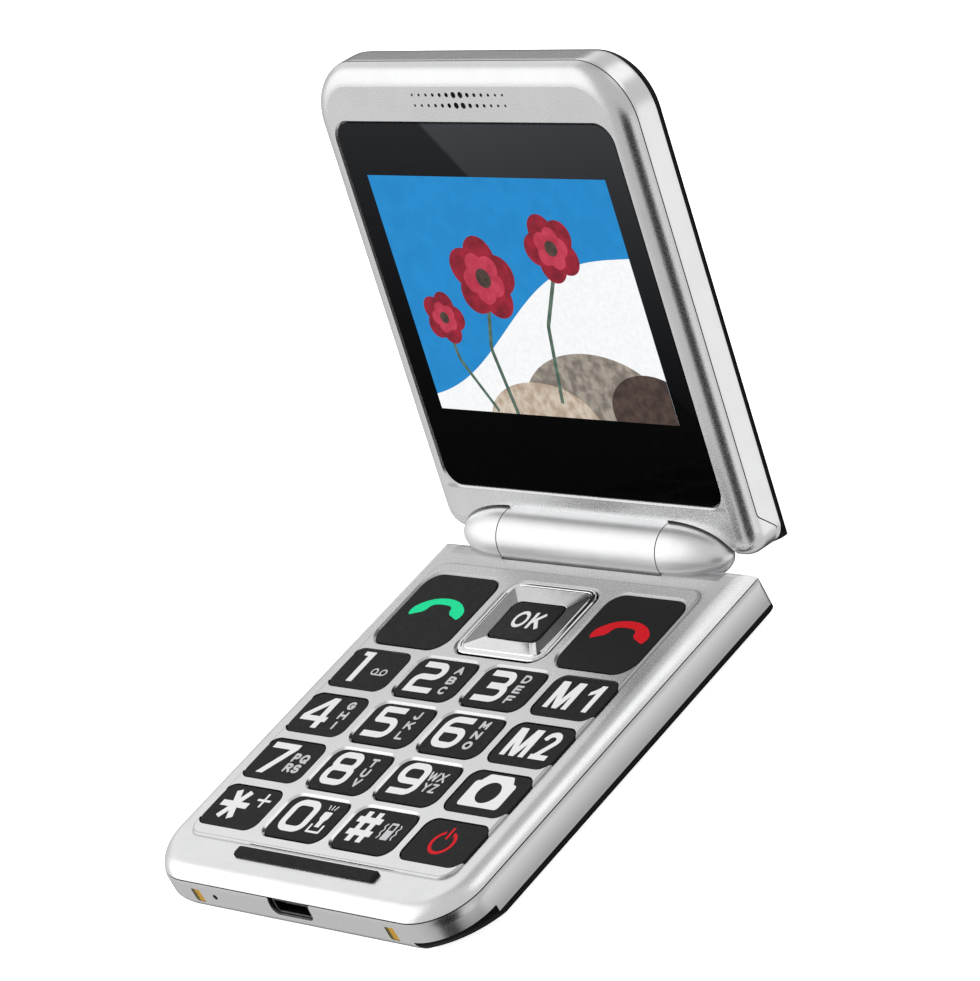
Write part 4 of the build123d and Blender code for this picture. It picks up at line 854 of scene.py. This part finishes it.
def lit(name, low, high, glow, scale=1500):
    m = Mat(name, rough=0.12, spec=0.05)
    c = m.ramp(m.noise(scale, 2.0), [(0.35, low), (0.65, high)])
    m.b.inputs["Base Color"].default_value = grey(0.01)
    m.set("Emission Color", c)
    m.b.inputs["Emission Strength"].default_value = glow
    return m


GLOW = 0.97
sc_blue = lit("screen_blue", srgb(15, 132, 200), srgb(20, 139, 207), GLOW, 300)
sc_white = lit("screen_white", srgb(244, 246, 248), srgb(252, 253, 254), GLOW)
sc_red = lit("screen_red", srgb(120, 14, 36), srgb(160, 24, 50), GLOW, 500)
sc_red2 = lit("screen_red_light", srgb(176, 40, 66), srgb(200, 60, 84), GLOW, 500)
sc_grey = lit("screen_grey", srgb(120, 112, 104), srgb(168, 158, 146), GLOW, 700)
sc_tan = lit("screen_tan", srgb(178, 158, 138), srgb(214, 200, 184), GLOW, 700)
sc_dark = lit("screen_dark", srgb(58, 46, 42), srgb(84, 66, 58), GLOW, 700)
sc_leaf = lit("screen_stem", srgb(70, 92, 80), srgb(92, 116, 100), GLOW, 700)

LX, LY, LH = 24.48, 18.36, 38.15
SCREEN = (-LX - 0.3, LH - LY - 0.3, LX + 0.3, LH + LY + 0.3)


def in_screen(f):
    return lambda x, y: np.maximum(f(x, y), f_box(x, y, 0, LH, LX, LY))


def wave(x, y):
    return y - (LH - 3.0 + 0.42 * x + 3.2 * np.sin(x / 9.0 + 0.6))


def hill(cx, cy, rx, ry):
    return lambda x, y: (np.hypot((x - cx) / rx, (y - cy) / ry) - 1) * min(rx, ry)


def petal(cx, cy, ang, L, w):
    c, s = math.cos(math.radians(ang)), math.sin(math.radians(ang))

    def f(x, y):
        u, v = (x - cx) * c + (y - cy) * s, -(x - cx) * s + (y - cy) * c
        return np.hypot((u - L / 2) / (L / 2), v / (w / 2)) * w / 2 - w / 2
    return f


def stem(pts, w):
    return lambda x, y: f_path(x, y, [(*p, 3.0) for p in pts], w)


def bloom(cx, cy, r, turn):
    return union(*[petal(cx, cy, turn + k * 72, r, r * 0.95) for k in range(5)])


def screen_layer(name, shapes, depth):
    return flat_piece(name, [(in_screen(f), m) for f, m in shapes], SCREEN, lid_place(depth), None,
                      thick=0.006, step=0.12, body="lid")


screen_layer("screen_ground", [(lambda x, y: f_box(x, y, 0, LH, LX, LY), sc_blue)], 0.222)
screen_layer("screen_drift", [(lambda x, y: wave(x, y), sc_white)], 0.2145)
screen_layer("screen_stones", [(hill(9.5, 19.5, 15.5, 10.5), sc_grey)], 0.207)
screen_layer("screen_stone_dark", [(hill(20.5, 21.0, 8.5, 6.2), sc_dark)], 0.1995)
screen_layer("screen_stones_front", [(hill(-2.5, 18.0, 11.5, 7.0), sc_tan)], 0.192)
screen_layer("screen_stems", [(union(stem([(-8, 19), (-9.5, 30), (-6.5, 39)], 0.7), stem([(2, 22), (4, 34), (9.5, 44)], 0.7),
                                    stem([(-12, 20), (-17, 28), (-17.5, 33)], 0.6)), sc_leaf)], 0.1845)
screen_layer("screen_blooms", [(union(bloom(-6.5, 41, 6.6, 10), bloom(9.5, 46, 5.4, 40), bloom(-17.5, 34.5, 4.2, 0)), sc_red)], 0.177)
screen_layer("screen_bloom_light", [(union(bloom(-6.5, 41, 4.1, 46), bloom(9.5, 46, 3.3, 4), bloom(-17.5, 34.5, 2.5, 36)), sc_red2)], 0.1695)
screen_layer("screen_hearts", [(union(lambda x, y: f_disc(x, y, -6.5, 41, 1.5), lambda x, y: f_disc(x, y, 9.5, 46, 1.2),
                                      lambda x, y: f_disc(x, y, -17.5, 34.5, 0.9)), sc_dark)], 0.162)


# ------------------------------------------------------------ stage, light, camera
def quad(name, corners, mat):
    me = bpy.data.meshes.new(name)
    me.from_pydata(corners, [], [(0, 1, 2, 3)])
    me.materials.append(mat)
    ob = bpy.data.objects.new(name, me)
    bpy.context.scene.collection.objects.link(ob)
    return ob


floor = Mat("floor_pale", rough=0.9, spec=0.0)
tone = floor.ramp(floor.noise(9.0, 2.0), [(0.3, grey(0.86)), (0.7, grey(0.9))])
floor.set("Base Color", tone)
floor.b.inputs["Emission Color"].default_value = (1, 1, 1, 1)
floor.b.inputs["Emission Strength"].default_value = 0.85
fl = quad("floor", [(-6, -6, 0), (6, -6, 0), (6, 6, 0), (-6, 6, 0)], floor.m)
fl.visible_glossy = False

world = bpy.data.worlds.new("studio")
bpy.context.scene.world = world
world.use_nodes = True
wt = world.node_tree
wn, wl = wt.nodes, wt.links
wn.clear()
wout = wn.new("ShaderNodeOutputWorld")
bg = wn.new("ShaderNodeBackground")
wl.new(bg.outputs[0], wout.inputs[0])
wco = wn.new("ShaderNodeTexCoord").outputs["Generated"]


def wmath(op, a, b):
    k = wn.new("ShaderNodeMath")
    k.operation = op
    for i, v in enumerate((a, b)):
        if isinstance(v, (int, float)):
            k.inputs[i].default_value = v
        else:
            wl.new(v, k.inputs[i])
    return k.outputs[0]


def lobe(direction, inner, outer):
    """1 inside the inner angle of the direction, 0 beyond the outer one."""
    d = Vector(direction).normalized()
    k = wn.new("ShaderNodeVectorMath")
    k.operation = "DOT_PRODUCT"
    k.inputs[1].default_value = d
    wl.new(wco, k.inputs[0])
    r = wn.new("ShaderNodeMapRange")
    r.interpolation_type = "SMOOTHSTEP"
    for i, v in zip((1, 2, 3, 4), (math.cos(math.radians(outer)), math.cos(math.radians(inner)), 0.0, 1.0)):
        r.inputs[i].default_value = v
    wl.new(k.outputs["Value"], r.inputs[0])
    return r.outputs[0]


# (direction, inner angle, outer angle, level there): each softbox or flag replaces what is behind it
STUDIO = [
    ((-0.74, 0.49, 0.46), 14, 28, 0.92),
    ((-0.74, -0.46, 0.49), 20, 42, 1.4),
    ((-0.19, 0.49, 0.85), 8, 24, 0.5),
    ((0.49, 0.47, 0.70), 8, 22, 1.2),
    ((0.24, 0.77, 0.59), 8, 20, 1.15),
    ((0.72, 0.51, -0.45), 14, 30, 1.0),
    ((0.60, -0.77, -0.13), 14, 31, 0.03),
    ((0.43, -0.72, -0.54), 7, 18, 0.08),
    ((0.93, -0.26, -0.22), 8, 20, 0.9),
    ((-0.75, 0.66, 0.08), 8, 17, 0.3),
    ((-0.50, 0.60, -0.62), 24, 42, 0.04),
]
val = 0.64
for d, a, b, v in STUDIO:
    w = lobe(d, a, b)
    val = wmath("ADD", wmath("MULTIPLY", wmath("SUBTRACT", 1.0, w), val), wmath("MULTIPLY", w, v))
wl.new(val, bg.inputs["Strength"])
bg.inputs["Color"].default_value = (1, 1, 1, 1)


def area(name, loc, target, size, energy):
    la = bpy.data.lights.new(name, "AREA")
    la.shape = "DISK"
    la.size = size
    la.energy = energy
    ob = bpy.data.objects.new(name, la)
    ob.location = loc
    ob.rotation_euler = (Vector(target) - Vector(loc)).to_track_quat("-Z", "Y").to_euler()
    bpy.context.scene.collection.objects.link(ob)
    ob.visible_glossy = False
    return ob


area("key_soft", (-0.5, -0.45, 0.75), (0, 0, 0.03), 0.6, 1.7)
area("top_soft", (0.1, 0.1, 0.9), (0, 0, 0), 0.7, 1.2)

R = [(0.6722537897678591, 0.5981757341560421, -0.43618875869241647),
     (0.06289890141880722, -0.6332078065942823, -0.7714218054141105),
     (-0.7376439319502726, 0.4911554384662137, -0.4633009442274034)]
cam_data = bpy.data.cameras.new("camera")
cam_data.sensor_fit = "AUTO"
cam_data.sensor_width = 36.0
cam_data.lens = 173.79
cam_data.clip_start = 0.05
cam_data.clip_end = 20
cam = bpy.data.objects.new("camera", cam_data)
xa, ya, za = Vector(R[0]), -Vector(R[1]), -Vector(R[2])
cam.matrix_world = Matrix(((xa.x, ya.x, za.x, 0.486702), (xa.y, ya.y, za.y, -0.299385), (xa.z, ya.z, za.z, 0.333506), (0, 0, 0, 1)))
bpy.context.scene.collection.objects.link(cam)
bpy.context.scene.camera = cam
bpy.context.scene.view_settings.view_transform = "Standard"
bpy.context.scene.view_settings.look = "None"
